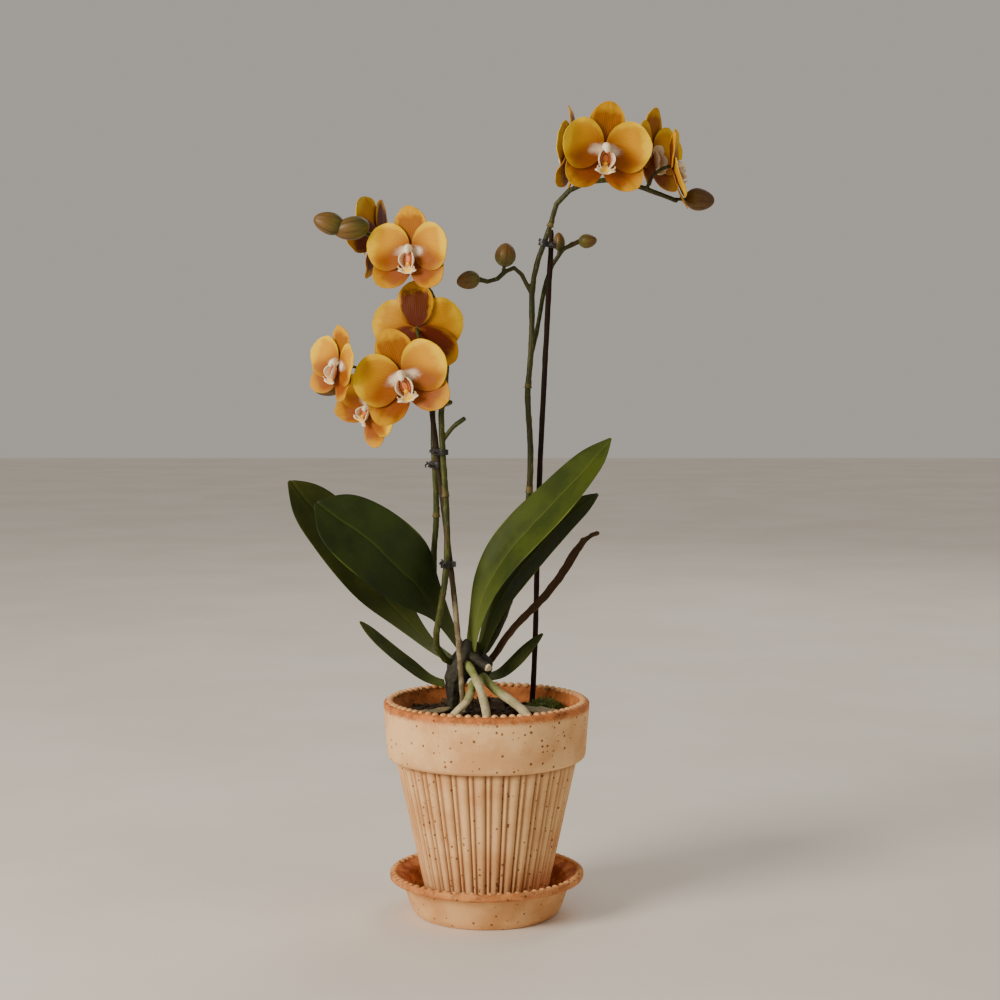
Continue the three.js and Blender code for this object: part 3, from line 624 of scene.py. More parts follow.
# Painted shade: the grooves between the ribs and a band just under the collar are marked here, and the finish
# darkens them towards brown.
painted_shadow_under_collar = np.clip(1 - (collar_foot - height) / (2.2 * MM), 0, 1)
attribute(pot, "groove", np.where(on_body, np.maximum(groove ** 0.9, painted_shadow_under_collar), 0.0))
roughen(pot, 0.2 * MM, 45 * MM, seed=2)
finished(pot, "pot_clay", "pot", materials=[pot_clay])
beaded_ring(
    "pot_beads", count=72, radius=pot_rim - 4.4 * MM, height=pot_top - 0.4 * MM, size=2.35 * MM,
    slot="pot_clay", material=pot_clay, bare=0.42)

# %% [markdown]
# ## Leaves
# Moth orchid leaves are thick and smooth, folded along the midrib, deep green with a paler
# edge. Their course through the air is already true in the CAD blades, so each blade is a
# welded copy that is subdivided until it is round and supple. A centre line is then found
# through the blade, and every vertex learns how far along it and how far across it lies.
# Veins, edge and midrib are painted from those two numbers.

# %% A centre line through a long piece


def centre_line(points, start, bins):
    # Slices the points along their longest direction and follows the middles of the slices.
    middle = points.mean(0)
    axis = np.linalg.svd(points - middle, full_matrices=False)[2][0]
    reach = (points - middle) @ axis
    near, far = points[reach.argmin()], points[reach.argmax()]
    if np.linalg.norm(near - start) > np.linalg.norm(far - start):
        reach, axis = -reach, -axis
    share = (reach - reach.min()) / np.ptp(reach)
    edges = np.linspace(0, 1, bins + 1)
    centres, sides = [], []
    last = None
    for low, high in zip(edges, edges[1:]):
        inside = points[(share >= low - 0.5 / bins) & (share <= high + 0.5 / bins)]
        hub = (inside.max(0) + inside.min(0)) / 2 if len(inside) < 4 else inside.mean(0)
        centres.append(hub)
        spread = np.linalg.svd(inside - inside.mean(0), full_matrices=False)[2]
        side = spread[0] if abs(spread[0] @ axis) < 0.8 else spread[1]
        side = side if last is None or side @ last > 0 else -side
        last = side
        sides.append(side)
    centres, sides = np.array(centres), np.array(sides)
    for _ in range(2):
        sides[1:-1] = (sides[:-2] + sides[1:-1] + sides[2:]) / 3
    return share, (edges[:-1] + edges[1:]) / 2, centres, sides


def along_and_across(points, start, bins=24):
    # How far along the piece each point lies, from 0 to 1, and how far across, from -1 to 1.
    share, stations, centres, sides = centre_line(points, start, bins)
    hub = np.stack([np.interp(share, stations, centres[:, k]) for k in range(3)], 1)
    side = np.stack([np.interp(share, stations, sides[:, k]) for k in range(3)], 1)
    offset = ((points - hub) * side).sum(1)
    least = 0.5 * MM
    width = np.array([
        np.abs(offset[np.abs(share - at) < 0.8 / bins]).max(initial=least) for at in stations
    ])
    return share, offset / np.interp(share, stations, width)


# %% Leaf finishes


def leaf_green(name, deep, bright, edge, gloss):
    r = Recipe(name)
    along, across = r.uv()
    aside = r.maths("ABSOLUTE", across)
    cloud = r.noise(22, 4)
    fine = r.streaks(along, across, 5.0, 46.0)
    colour = r.mix(r.band(cloud, 0.3, 0.7), deep, bright)
    colour = r.mix(r.band(fine, 0.35, 0.75, 0.0, 0.35), colour, bright)
    colour = r.mix(r.band(aside, 0.0, 0.045, 0.3, 0.0), colour, edge)
    colour = r.mix(r.band(aside, 0.93, 1.0, 0.0, 0.75), colour, edge)
    colour = r.mix(r.band(along, 0.0, 0.38, 0.55, 0.0), colour, rgb("6f7a3c"))
    dust = r.spots(2.6)
    speck = r.maths("LESS_THAN", dust.node.outputs["Distance"], 0.05)
    colour = r.mix(r.maths("MULTIPLY", speck, 0.25), colour, rgb("a9ad86"))
    relief = r.bump(fine, 0.3, 0.5, r.bump(r.noise(4, 4), 0.15, 0.4))
    return r.finish(colour, r.band(cloud, 0.3, 0.7, gloss, gloss + 0.16), relief, Specular_IOR_Level=0.22)


leaf_deep = leaf_green("leaf_deep_green", rgb("1b2605"), rgb("2a370a"), rgb("56641c"), 0.42)
leaf_bright = leaf_green("leaf_bright_green", rgb("2a3604"), rgb("3e4a05"), rgb("727c24"), 0.42)
# The third copy is darker, for the back leaf and the two small leaves, which lie in shade: painted shade.
leaf_shaded = leaf_green("leaf_shaded_green", rgb("242c06"), rgb("3a400c"), rgb("5c6220"), 0.46)


def dead_leaf(name, pale, dark, streak):
    r = Recipe(name)
    along, across = r.uv()
    fibre = r.streaks(along, across, 3.0, 14.0, scale=1.4, detail=5.0, roughness=0.65)
    blotch = r.noise(7, 4)
    colour = r.mix(r.band(fibre, 0.3, 0.7), dark, pale)
    colour = r.mix(r.band(blotch, 0.45, 0.7, 0, 0.6), colour, streak)
    roughness = r.band(fibre, 0.2, 0.8, 0.6, 0.85)
    return r.finish(colour, roughness, r.bump(fibre, 0.5, 0.8), Specular_IOR_Level=0.35)


withered = dead_leaf("withered_brown", rgb("6a4a28"), rgb("2c1a0c"), rgb("44301a"))
dry_grey = dead_leaf("dry_grey_brown", rgb("9a8a66"), rgb("54482f"), rgb("6d6a4a"))

# %% Growing the leaf blades
crown_points = points_of(cad["crown"])
crown_middle = np.mean([crown_points.max(0), crown_points.min(0)], axis=0)
blade_finish = {
    "leaf_left_front": leaf_deep, "leaf_left_back": leaf_shaded, "leaf_right_front": leaf_bright,
    "leaf_right_back": leaf_bright, "leaf_small_left": leaf_shaded, "leaf_small_right": leaf_shaded,
    "leaf_withered": withered,
}
for index, (node, material) in enumerate(blade_finish.items()):
    blade = rounded_copy(node, node + "_blade")
    points, normals = points_of(blade), normals_of(blade)
    along, across = along_and_across(points, crown_middle)
    set_uv(blade, along, across)
    if node == "leaf_withered":
        ragged = np.clip((along - 0.8) / 0.2, 0, 1)
        crumple = noise_over(points, 5 * MM)
        set_points(blade, points + normals * ((0.5 + 1.4 * ragged) * crumple * MM)[:, None])
    else:
        crease = -0.45 * np.exp(-(across / 0.07) ** 2) * np.clip(along * 3, 0, 1)
        swell = noise_over(points, 26 * MM, (index, 0, 0))
        set_points(blade, points + normals * ((crease + 0.5 * swell) * MM)[:, None])
    slot = "withered_leaf" if node == "leaf_withered" else "leaf"
    finished(blade, slot, node, materials=[material])

# %% [markdown]
# ## Roots, crown and stakes
# The short stem is wrapped in old leaf bases and carries a cut stub with a pale face. Thick
# roots arch out of it: green where they are fresh, and cream with a papery skin lower down.
# All are rounded copies of the CAD pieces. The crown is remeshed first, because it is
# several lumps in one, and a remesh melts them together.

# %% Root, crown and stake finishes


def root_skin(name):
    r = Recipe(name)
    along = r.uv()[0]
    paper = r.noise(2.4, 5, 0.7)
    cloud = r.noise(9, 3)
    fresh = r.maths("ADD", along, r.band(cloud, 0.3, 0.7, -0.2, 0.2))
    colour = r.mix(r.band(fresh, 0.05, 0.75), rgb("75803c"), rgb("cfbf96"))
    colour = r.mix(r.band(paper, 0.45, 0.75, 0, 0.5), colour, rgb("8d835c"))
    colour = r.mix(r.band(along, 0.85, 1.0, 0.0, 0.6), colour, rgb("6b5d3c"))
    return r.finish(colour, r.band(paper, 0.2, 0.8, 0.62, 0.85), r.bump(paper, 0.35, 0.8))


def crown_bark(name):
    r = Recipe(name)
    cut = r.painted("cut_face")
    fibre = r.noise(2.0, 5, 0.7, r.stretched((1.0, 1.0, 0.3)))
    cloud = r.noise(12, 3)
    colour = r.mix(r.band(cloud, 0.35, 0.65), rgb("17150b"), rgb("2a2712"))
    colour = r.mix(r.band(fibre, 0.45, 0.75, 0, 0.55), colour, rgb("45381f"))
    colour = r.mix(cut, colour, r.mix(r.band(r.noise(2.2), 0.4, 0.6), rgb("efe3c0"), rgb("c9b489")))
    return r.finish(colour, r.band(fibre, 0.2, 0.8, 0.6, 0.85), r.bump(fibre, 0.5, 0.9))


def stake_cane(name, light, dark, mottled):
    r = Recipe(name)
    # Up to the mottled share of its length, a cane is weathered grey with pale blotches.
    along = r.uv()[0]
    fibre = r.noise(1.3, 5, 0.65, r.stretched((1.0, 1.0, 0.08)))
    low_part = r.band(along, mottled - 0.1, mottled + 0.05, 1.0, 0.0)
    blotch = r.maths("MULTIPLY", r.band(r.noise(6, 4), 0.42, 0.62), low_part)
    colour = r.mix(r.band(fibre, 0.35, 0.7), dark, light)
    colour = r.mix(r.band(along, mottled - 0.08, mottled + 0.08, 0.75, 0.0), colour, rgb("77694c"))
    colour = r.mix(r.maths("MULTIPLY", blotch, 0.7), colour, rgb("a3977a"))
    roughness = r.band(fibre, 0.2, 0.8, 0.55, 0.8)
    return r.finish(colour, roughness, r.bump(fibre, 0.25, 0.8), Specular_IOR_Level=0.18)


root_white = root_skin("root_papery_skin")
crown_fibre = crown_bark("crown_old_sheaths")
cane_mottled = stake_cane("cane_weathered", rgb("4a3a2a"), rgb("221811"), 0.5)
cane_dark = stake_cane("cane_dark", rgb("301608"), rgb("120804"), 0.02)

# %% Roots and stakes
for node in ("root_front", "root_right", "root_left"):
    root = rounded_copy(node, node + "_skin")
    along, across = along_and_across(points_of(root), crown_middle, 12)
    set_uv(root, along, across)
    set_points(root, points_of(root) + normals_of(root) * 0.75 * MM)
    roughen(root, 0.45 * MM, 7 * MM, seed=len(node))
    finished(root, "root", node, materials=[root_white])

for node, material in (("stake_left", cane_mottled), ("stake_right", cane_dark)):
    cane = rounded_copy(node, node + "_cane")
    points = points_of(cane)
    along, across = along_and_across(points, points[points[:, 2].argmin()], 16)
    set_uv(cane, along, across)
    roughen(cane, 0.22 * MM, 6 * MM, seed=3)
    finished(cane, "stake", node, materials=[material])

# %% The crown
TOWARDS_STUB = np.array([0.45, -0.85, -0.2])
STUB_REACH = 7 * MM
# Below this height the crown is drawn in, over this much of its height.
SLIM_BELOW, SLIM_OVER = 168 * MM, 12 * MM
crown = welded_copy("crown", "crown_sheaths")
apply_modifier(crown, "REMESH", mode="VOXEL", voxel_size=0.8 * MM)
apply_modifier(crown, "SMOOTH", factor=0.5, iterations=6)
points = points_of(crown)
stub_tip = points[(points @ TOWARDS_STUB).argmax()]
stub_axis = Vector((0.62, -0.72, -0.33)).normalized()
reach = (points - stub_tip) @ np.array(stub_axis)
near = np.linalg.norm(points - stub_tip, axis=1) < STUB_REACH
attribute(crown, "cut_face", np.where(near, np.clip((reach + 1.6 * MM) / (0.9 * MM), 0, 1), 0.0))
slim = np.clip((SLIM_BELOW - points[:, 2]) / SLIM_OVER, 0, 1)
set_points(crown, points - normals_of(crown) * (slim * 1.1 * MM)[:, None])
roughen(crown, 0.7 * MM, 5 * MM, seed=5)
finished(crown, "crown", "crown", materials=[crown_fibre])

# %% [markdown]
# ## Flowering stalks and buds
# Each stalk is one long green stem, with side stems, flower stalks and buds fused to it. In
# the CAD model it is a union of tubes and eggs, so a remesh gives an even skin that a few
# rounds of smoothing turn into one grown piece. Where the stalk is thick there is a bud.
# Rays cast inwards from each vertex measure that thickness, and the thick places are
# gathered into buds, each of which then gets a finely shaped bud of its own. A few joints
# carry a thin dry sheath.

# %% Stalk and bud finishes


def stalk_skin(name, green, olive, flush):
    r = Recipe(name)
    fibre = r.noise(1.4, 4, 0.6, r.stretched((1.0, 1.0, 0.2)))
    cloud = r.noise(26, 3)
    colour = r.mix(r.band(cloud, 0.35, 0.65), green, olive)
    colour = r.mix(r.band(r.noise(11, 3), 0.5, 0.72, 0, 0.6), colour, flush)
    colour = r.mix(r.band(fibre, 0.5, 0.75, 0, 0.3), colour, rgb("8d9348"))
    roughness = r.band(fibre, 0.2, 0.8, 0.42, 0.6)
    return r.finish(colour, roughness, r.bump(fibre, 0.2, 0.6), Specular_IOR_Level=0.28)


stalk_green = stalk_skin("stalk_green", rgb("2c340a"), rgb("3e4210"), rgb("4a3010"))
stalk_dark = stalk_skin("stalk_dark", rgb("262a0a"), rgb("36340e"), rgb("361c0a"))


def bud_skin(name, light, dark, seam):
    r = Recipe(name)
    along, across = r.uv()
    lines = r.streaks(along, across, 2.0, 22.0)
    colour = r.mix(r.band(along, 0.05, 0.85), light, dark)
    colour = r.mix(r.band(lines, 0.4, 0.7, 0, 0.45), colour, seam)
    groove = r.stripes(across, 3.0)
    colour = r.mix(r.band(groove, 0.42, 0.5, 0.0, 0.65), colour, seam)
    roughness = r.band(lines, 0.2, 0.8, 0.42, 0.6)
    return r.finish(colour, roughness, r.bump(lines, 0.2, 0.5), Specular_IOR_Level=0.4)


bud_olive = bud_skin("bud_olive", rgb("5a5818"), rgb("6c4c18"), rgb("34240a"))
bud_brown = bud_skin("bud_brown", rgb("75561e"), rgb("5c3a14"), rgb("2c180a"))

# %% Measuring how thick the stalk is under each vertex
RAY_LENGTH = 30 * MM
LEANS = ((0, 0), (0.35, 0), (-0.35, 0), (0, 0.35), (0, -0.35))


def thickness_under(piece):
    # The shortest of five rays: one straight in and four that lean a little.
    pick(piece)
    tree = BVHTree.FromObject(piece, bpy.context.evaluated_depsgraph_get())
    points, normals = points_of(piece), normals_of(piece)
    least = np.full(len(points), RAY_LENGTH)
    for lean in LEANS:
        for index, (point, normal) in enumerate(zip(points, normals)):
            inward = -Vector(normal)
            aside = inward.orthogonal().normalized()
            ray = (inward + aside * lean[0] + aside.cross(inward) * lean[1]).normalized()
            distance = tree.ray_cast(Vector(point) + inward * 0.05 * MM, ray, RAY_LENGTH)[3]
            if distance is not None:
                least[index] = min(least[index], distance)
    return points, least


# A bud's core is thicker than the first, all of a bud than the second, and a stem is
# thinner than the third.
BUD_CORE, BUD_BODY, STEM = 5.9 * MM, 3.9 * MM, 3.2 * MM


def buds_in(points, thick):
    # Gathers the thick places into groups, and finds each bud's middle, direction and size.
    found = []
    left = points[thick > BUD_CORE]
    while len(left) > 12:
        near = left[np.linalg.norm(left - left[0], axis=1) < 9 * MM]
        for _ in range(3):
            near = left[np.linalg.norm(left - near.mean(0), axis=1) < 9.5 * MM]
        middle = near.mean(0)
        region = points[(np.linalg.norm(points - middle, axis=1) < 13 * MM) & (thick > BUD_BODY)]
        middle = (region.max(0) + region.min(0)) / 2
        axis = np.linalg.svd(region - region.mean(0), full_matrices=False)[2][0]
        reach = (region - middle) @ axis
        aside = np.linalg.norm(region - middle - reach[:, None] * axis, axis=1)
        stem = points[(np.linalg.norm(points - middle, axis=1) < 17 * MM) & (thick < STEM)]
        if len(stem) and (stem.mean(0) - middle) @ axis > 0:
            axis = -axis
        found.append((middle, axis, np.ptp(reach) / 2, np.percentile(aside, 97)))
        left = left[np.linalg.norm(left - middle, axis=1) > 12 * MM]
    return found

# %% One bud, modelled once


def make_bud():
    sphere = bpy.ops.mesh.primitive_uv_sphere_add
    bud = start_from(sphere, "bud_model", segments=36, ring_count=24, radius=1.0)
    points = points_of(bud)
    around = np.arctan2(points[:, 1], points[:, 0])
    height = points[:, 2]
    # Three sepals meet in three furrows, and the bud is fullest nearer its foot.
    furrow = 1 - 0.07 * np.exp(-((np.mod(around * 3 / (2 * math.pi), 1) - 0.5) / 0.09) ** 2)
    keel = 1 + 0.035 * np.cos(3 * around)
    fullness = 1 + 0.1 * (0.4 - height) * (1 - height ** 2)
    points[:, :2] *= (furrow * keel * fullness)[:, None]
    points[:, 2] += 0.06 * np.clip(height, 0, 1) ** 6
    set_points(bud, points)
    set_uv(bud, (height + 1) / 2, np.mod(around / (2 * math.pi), 1))
    return bud


bud_model = make_bud()


def bud_at(name, middle, axis, half_length, half_width, material, seed):
    bud = copy_of(bud_model, name)
    turn = Vector(axis).to_track_quat("Z", "Y").to_matrix().to_4x4() @ Matrix.Rotation(seed * 1.3, 4, "Z")
    grow = Matrix.Diagonal((half_width * 1.05, half_width * 0.98, half_length * 1.05, 1))
    bud.data.transform(Matrix.Translation(middle) @ turn @ grow)
    finished(bud, "stalk", materials=[material])

# %% A sheath at a joint of a stalk


def stem_at(points, across_at, height):
    # The ring of stem vertices at this height that is nearest to this place, and its middle.
    ring = points[(abs(points[:, 2] - height) < 0.9 * MM) & (abs(points[:, 0] - across_at) < 12 * MM)]
    nearest = ring[abs(ring[:, 0] - across_at).argmin()]
    ring = ring[np.linalg.norm(ring - nearest, axis=1) < 6 * MM]
    return ring, (ring.max(0) + ring.min(0)) / 2


def sheath(name, points, across_at, height, length):
    # A joint carries a thin pointed sheath, wrapped closely round the stem.
    ring, foot = stem_at(points, across_at, height)
    above = stem_at(points, across_at, height + 4 * MM)[1]
    radius = min(np.percentile(np.linalg.norm(ring[:, :2] - foot[:2], axis=1), 60), 3.4 * MM)
    cylinder = bpy.ops.mesh.primitive_cylinder_add
    piece = start_from(cylinder, name, vertices=24, radius=1, depth=1, end_fill_type="TRIFAN")
    start_editing(piece)
    bpy.ops.mesh.subdivide(number_cuts=4)
    stop_editing()
    spots = points_of(piece)
    rise = spots[:, 2] + 0.5
    lean = np.clip(spots[:, 0], 0, 1) ** 2
    grow = radius * (1.22 - 0.1 * rise) + 0.5 * MM * np.exp(-(rise / 0.16) ** 2)
    spots[:, :2] *= grow[:, None]
    spots[:, 2] = length * rise * (0.45 + 0.55 * lean)
    set_points(piece, spots)
    turn = Vector(above - foot).to_track_quat("Z", "Y").to_matrix().to_4x4()
    piece.data.transform(Matrix.Translation(foot) @ turn)
    finished(piece, "stalk", materials=[sheath_skin])


sheath_skin = stalk_skin("sheath_dry", rgb("4a4416"), rgb("6a5a2c"), rgb("5a3818"))
# How far across, how high and how long each sheath is, in millimetres.
sheath_places = {
    "flower_stalk_left_front": [(-30, 284, 8), (-28, 345, 7)],
    "flower_stalk_left_back": [(-33, 269, 7)],
    "flower_stalk_right": [(30, 284, 10), (27, 356, 7), (44, 465, 6)],
}

# %% Stalks, with their buds
# Buds this far to the right, or this low, are the brown ones.
BROWN_RIGHT_OF, BROWN_BELOW = 0.1, 0.37
SKIN_GROWTH = 0.16 * MM
stalk_finish = {
    "flower_stalk_left_front": stalk_green, "flower_stalk_left_back": stalk_green,
    "flower_stalk_right": stalk_dark,
}
bud_count = 0
for node, material in stalk_finish.items():
    stalk = welded_copy(node, node + "_skin")
    apply_modifier(stalk, "REMESH", mode="VOXEL", voxel_size=0.55 * MM)
    points, thick = thickness_under(stalk)
    found = buds_in(points, thick)
    for middle, axis, half_length, half_width in found:
        bud_count += 1
        skin = bud_brown if middle[0] > BROWN_RIGHT_OF or middle[2] < BROWN_BELOW else bud_olive
        bud_at(f"bud_{bud_count}", middle, axis, half_length, half_width, skin, bud_count)
        place = [round(v / MM) for v in middle]
        print(f"at {place}, half {half_length / MM:.1f} by {half_width / MM:.1f} mm")
    apply_modifier(stalk, "SMOOTH", factor=0.5, iterations=7)
    points, normals = points_of(stalk), normals_of(stalk)
    points += normals * SKIN_GROWTH
    # The stalk's own swelling is drawn in under the bud that covers it.
    measure = np.full(len(points), np.inf)
    drawn = points.copy()
    for middle, axis, half_length, half_width in found:
        reach = (points - middle) @ axis
        aside = np.linalg.norm(points - middle - reach[:, None] * axis, axis=1)
        here = np.hypot(reach / half_length, aside / half_width)
        covered = (here < measure) & (here < 1.5) & ((thick > 3.4 * MM) | (here < 1.1))
        drawn[covered] = middle + (points[covered] - middle) * 0.66
        measure = np.minimum(measure, here)
    for across_at, height, length in sheath_places[node]:
        sheath(node + "_sheath", points, across_at * MM, height * MM, length * MM)
    set_points(stalk, drawn)
    roughen(stalk, 0.22 * MM, 9 * MM, seed=4)
    finished(stalk, "stalk", node, materials=[material])
bpy.data.objects.remove(bud_model)
print(bud_count, "buds")

# %% [markdown]
# ## The flowers
# A moth orchid flower has three sepals behind, two broad petals in front of them, and a lip
# that hangs below a short white column. One lip and three sets of sepals and petals are
# modelled, facing along +Z with their tops along +Y. They are then copied to the ten
# places, and each copy's sepals and petals sway in their own way.
# Where a flower is and how it is turned is read from its three CAD nodes: the petals give
# its left-right line, and the middles of the petals, the lip and the sepals give the rest.

# %% Petal and sepal finishes


def petal_face(name, heart, flush, body, margin, vein, veins, halo):
    r = Recipe(name)
    along, across = r.uv()
    heart_way = r.painted("heart")
    low = r.painted("low")
    halo_way = r.painted("halo")
    aside = r.maths("ABSOLUTE", across)
    ripple = r.noise(7, 3)
    wander = r.maths("ADD", across, r.band(ripple, 0.3, 0.7, -0.03, 0.03))
    line = r.stripes(wander, veins)
    lines = r.maths("MULTIPLY", r.band(line, 0.1, 0.34, 1.0, 0.0), r.band(along, 0.1, 0.9, 1.0, 0.35))
    mottle = r.noise(4.5, 4, 0.6)
    edge = r.maths("MAXIMUM", r.band(along, 0.62, 1.0), r.band(aside, 0.6, 1.0))
    edge = r.maths("ADD", edge, r.band(mottle, 0.3, 0.7, -0.15, 0.15))
    colour = r.mix(r.band(edge, 0.1, 0.85), body, margin)
    colour = r.mix(r.maths("MULTIPLY", lines, 0.55), colour, vein)
    # Near the heart the darker flush is the petal's own colour; through the low attribute the same colour
    # reaches further out on the lower part of the flower, and there it is painted shade.
    near = r.maths("SUBTRACT", heart_way, r.maths("MULTIPLY", low, 0.6))
    colour = r.mix(r.band(near, 0.0, 0.66, 0.95, 0.0), colour, flush)
    uneven = r.maths("ADD", r.maths("MULTIPLY", lines, 0.07), r.band(mottle, 0.3, 0.7, -0.04, 0.04))
    streaked = r.maths("ADD", halo_way, uneven)
    colour = r.mix(r.band(streaked, halo * 0.35, halo, 0.95, 0.0), colour, heart)
    sparkle = r.noise(0.9, 2)
    relief = r.bump(lines, 0.16, 0.5, r.bump(sparkle, 0.05, 0.5))
    return r.finish(colour, r.band(mottle, 0.2, 0.8, 0.5, 0.66), relief, Specular_IOR_Level=0.22)


petal_gold = petal_face(
    "petal_gold", heart=rgb("f6e6cc"), flush=rgb("8c4600"), body=rgb("d69800"), margin=rgb("eec200"),
    vein=rgb("ae6000"), veins=15.0, halo=0.42)
petal_back = petal_face(
    "petal_back", heart=rgb("dcb060"), flush=rgb("a86400"), body=rgb("c68c00"), margin=rgb("dcb000"),
    vein=rgb("a05c00"), veins=15.0, halo=0.16)
sepal_gold = petal_face(
    "sepal_gold", heart=rgb("e0a050"), flush=rgb("884000"), body=rgb("a06000"), margin=rgb("d89e00"),
    vein=rgb("6a3200"), veins=9.0, halo=0.2)
sepal_maroon = petal_face(
    "sepal_maroon_back", heart=rgb("a06410"), flush=rgb("5e1e00"), body=rgb("622a00"), margin=rgb("d89a00"),
    vein=rgb("3c1200"), veins=9.0, halo=0.2)

# %% Shaping one petal or sepal
# How far a petal reaches from the flower's heart, and how far its tip bends forwards.
PETAL_REACH, DISH = 31 * MM, 7 * MM
PETAL_THICKNESS = 0.55 * MM


def tepal(name, length, half_width, widest, direction, layer, cupping, ripple, seed):
    # A grid is laid along the petal; its rows take the petal's width and its face is dished.
    piece = start_from(bpy.ops.mesh.primitive_grid_add, name, x_subdivisions=30, y_subdivisions=22, size=2)
    points = points_of(piece)
    # Rows and columns stand a little closer together towards the rim.
    even = (points[:, 0] + 1) / 2
    along = (even + (1 - np.cos(even * math.pi)) / 2) / 2
    across = (points[:, 1] + np.sin(points[:, 1] * math.pi / 2)) / 2
    before = 1 - np.minimum(along / widest, 1)
    after = np.maximum((along - widest) / (1 - widest), 0)
    share = np.sqrt(np.maximum(0.004, 1 - before ** 2 - after ** 2.3))
    reach = 1 * MM + (length - 1 * MM) * along * (1 - 0.12 * (across * share) ** 2 * along)
    sideways = across * half_width * share
    turn = math.radians(90 + direction)
    x = math.cos(turn) * reach - math.sin(turn) * sideways
    y = math.sin(turn) * reach + math.cos(turn) * sideways
    far = (reach ** 2 + sideways ** 2) / PETAL_REACH ** 2
    # The dishing and the ripples follow the true width, so that the narrow tip stays flat.
    wide = across * share
    midline = 0.5 * MM * np.exp(-(across / 0.09) ** 2) * along * share
    z = layer + DISH * far + cupping * wide ** 2 * along - midline
    waves = np.array([
        noise.noise(Vector((a * 3.2 + seed, b * 2.4, seed * 1.7))) for a, b in zip(along, wide)
    ])
    z += ripple * waves * along * (0.4 + wide ** 2)
    fine = np.array([noise.noise(Vector((a * 5 + seed, b * 14, 4.0))) for a, b in zip(along, wide)])
    z += 0.14 * MM * fine * share
    set_points(piece, np.stack([x, y, z], 1))
    set_uv(piece, along, across)
    # How far from the flower's heart, and how low on the flower, each vertex is. How low it is sets where
    # shade is painted.
    attribute(piece, "heart", np.hypot(x, y) / PETAL_REACH)
    attribute(piece, "low", np.clip(-y / (12 * MM) + 0.4, 0, 1))
    attribute(piece, "halo", np.hypot(x * 0.85, (y + 1 * MM) * 2.1) / PETAL_REACH)
    start_editing(piece)
    bpy.ops.mesh.normals_make_consistent(inside=False)
    stop_editing()
    if normals_of(piece)[:, 2].mean() < 0:
        start_editing(piece)
        bpy.ops.mesh.flip_normals()
        stop_editing()
    # The second material goes on the back, which the thickness adds.
    piece.data.materials.append(petal_gold)
    piece.data.materials.append(petal_back)
    apply_modifier(
        piece, "SOLIDIFY", thickness=PETAL_THICKNESS, offset=-1, use_even_offset=False,
        material_offset=1, material_offset_rim=0)
    return piece

# %% Sepals and petals of the model flower


# A row is the name, length, half width, widest place, direction, cupping, ripple and seed.
SEPALS = [
    ("dorsal", 32, 12.6, 0.6, 0, -1.4, 1.5, 0.0),
    ("lateral_a", 35, 13, 0.62, 136, -1.2, 1.6, 3.3),
    ("lateral_b", 35, 13, 0.62, -136, -1.2, 1.6, 6.1),
]
PETALS = [
    ("petal_a", 32, 17.6, 0.56, 82, -2.0, 2.1, 1.1),
    ("petal_b", 32, 17.6, 0.56, -82, -2.0, 2.1, 8.4),
]


def tepals(name, rows, layer, seed):
    # Lengths, cupping and ripple are in millimetres in the rows.
    parts = [
        tepal(part, length * MM, half_width * MM, widest, direction, layer,
              cupping * MM, ripple * MM, seed + more)
        for part, length, half_width, widest, direction, cupping, ripple, more in rows
    ]
    return join_pieces(parts, name)

# %% [markdown]
# ### The lip and column
# The column is a small white hood. Under it two white side lobes stand up like cupped
# hands, striped red and orange inside, round a yellow callus. The middle lobe is shaped
# like an anchor and ends in two curled horns. Each part starts from a grid or a sphere and
# is bent into shape, and the lobes are given a thickness.

# %% Lip finish


def lip_skin(name):
    r = Recipe(name)
    throat = r.painted("throat")
    gold = r.painted("yolk")
    along = r.uv()[0]
    mottle = r.noise(2.2, 4)
    colour = r.mix(r.band(mottle, 0.35, 0.65), rgb("f6ecd6"), rgb("e8d6b2"))
    lines = r.stripes(along, 6.0)
    colour = r.mix(gold, colour, r.mix(r.band(mottle, 0.4, 0.6), rgb("ffd200"), rgb("f4ba00")))
    red = r.mix(r.band(lines, 0.12, 0.3), rgb("741800"), rgb("d06400"))
    colour = r.mix(throat, colour, red)
    roughness = r.band(mottle, 0.2, 0.8, 0.36, 0.52)
    return r.finish(colour, roughness, r.bump(mottle, 0.12, 0.5), Specular_IOR_Level=0.35)


lip_white = lip_skin("lip_white_and_orange")

# %% Parts of the lip


def lobe(name, place, thickness, throat, yolk, rows=18, columns=12):
    # place(u, v) gives a point in millimetres for u along the lobe and v across it.
    grid = bpy.ops.mesh.primitive_grid_add
    piece = start_from(grid, name, x_subdivisions=rows, y_subdivisions=columns, size=2)
    spots = points_of(piece)
    along, across = (spots[:, 0] + 1) / 2, spots[:, 1]
    set_points(piece, np.array([place(u, v) for u, v in zip(along, across)]) * MM)
    set_uv(piece, along, across)
    attribute(piece, "throat", [throat(u, v) for u, v in zip(along, across)])
    attribute(piece, "yolk", [yolk(u, v) for u, v in zip(along, across)])
    apply_modifier(piece, "SOLIDIFY", thickness=thickness * MM, offset=0, use_even_offset=False)
    return piece


def egg(name, centre, radii, throat, yolk):
    piece = start_from(bpy.ops.mesh.primitive_uv_sphere_add, name, segments=20, ring_count=14, radius=1)
    spots = points_of(piece)
    set_uv(piece, (spots[:, 2] + 1) / 2, spots[:, 0])
    attribute(piece, "throat", np.full(len(spots), throat))
    attribute(piece, "yolk", np.full(len(spots), yolk))
    set_points(piece, (spots * np.array(radii) + np.array(centre)) * MM)
    return piece


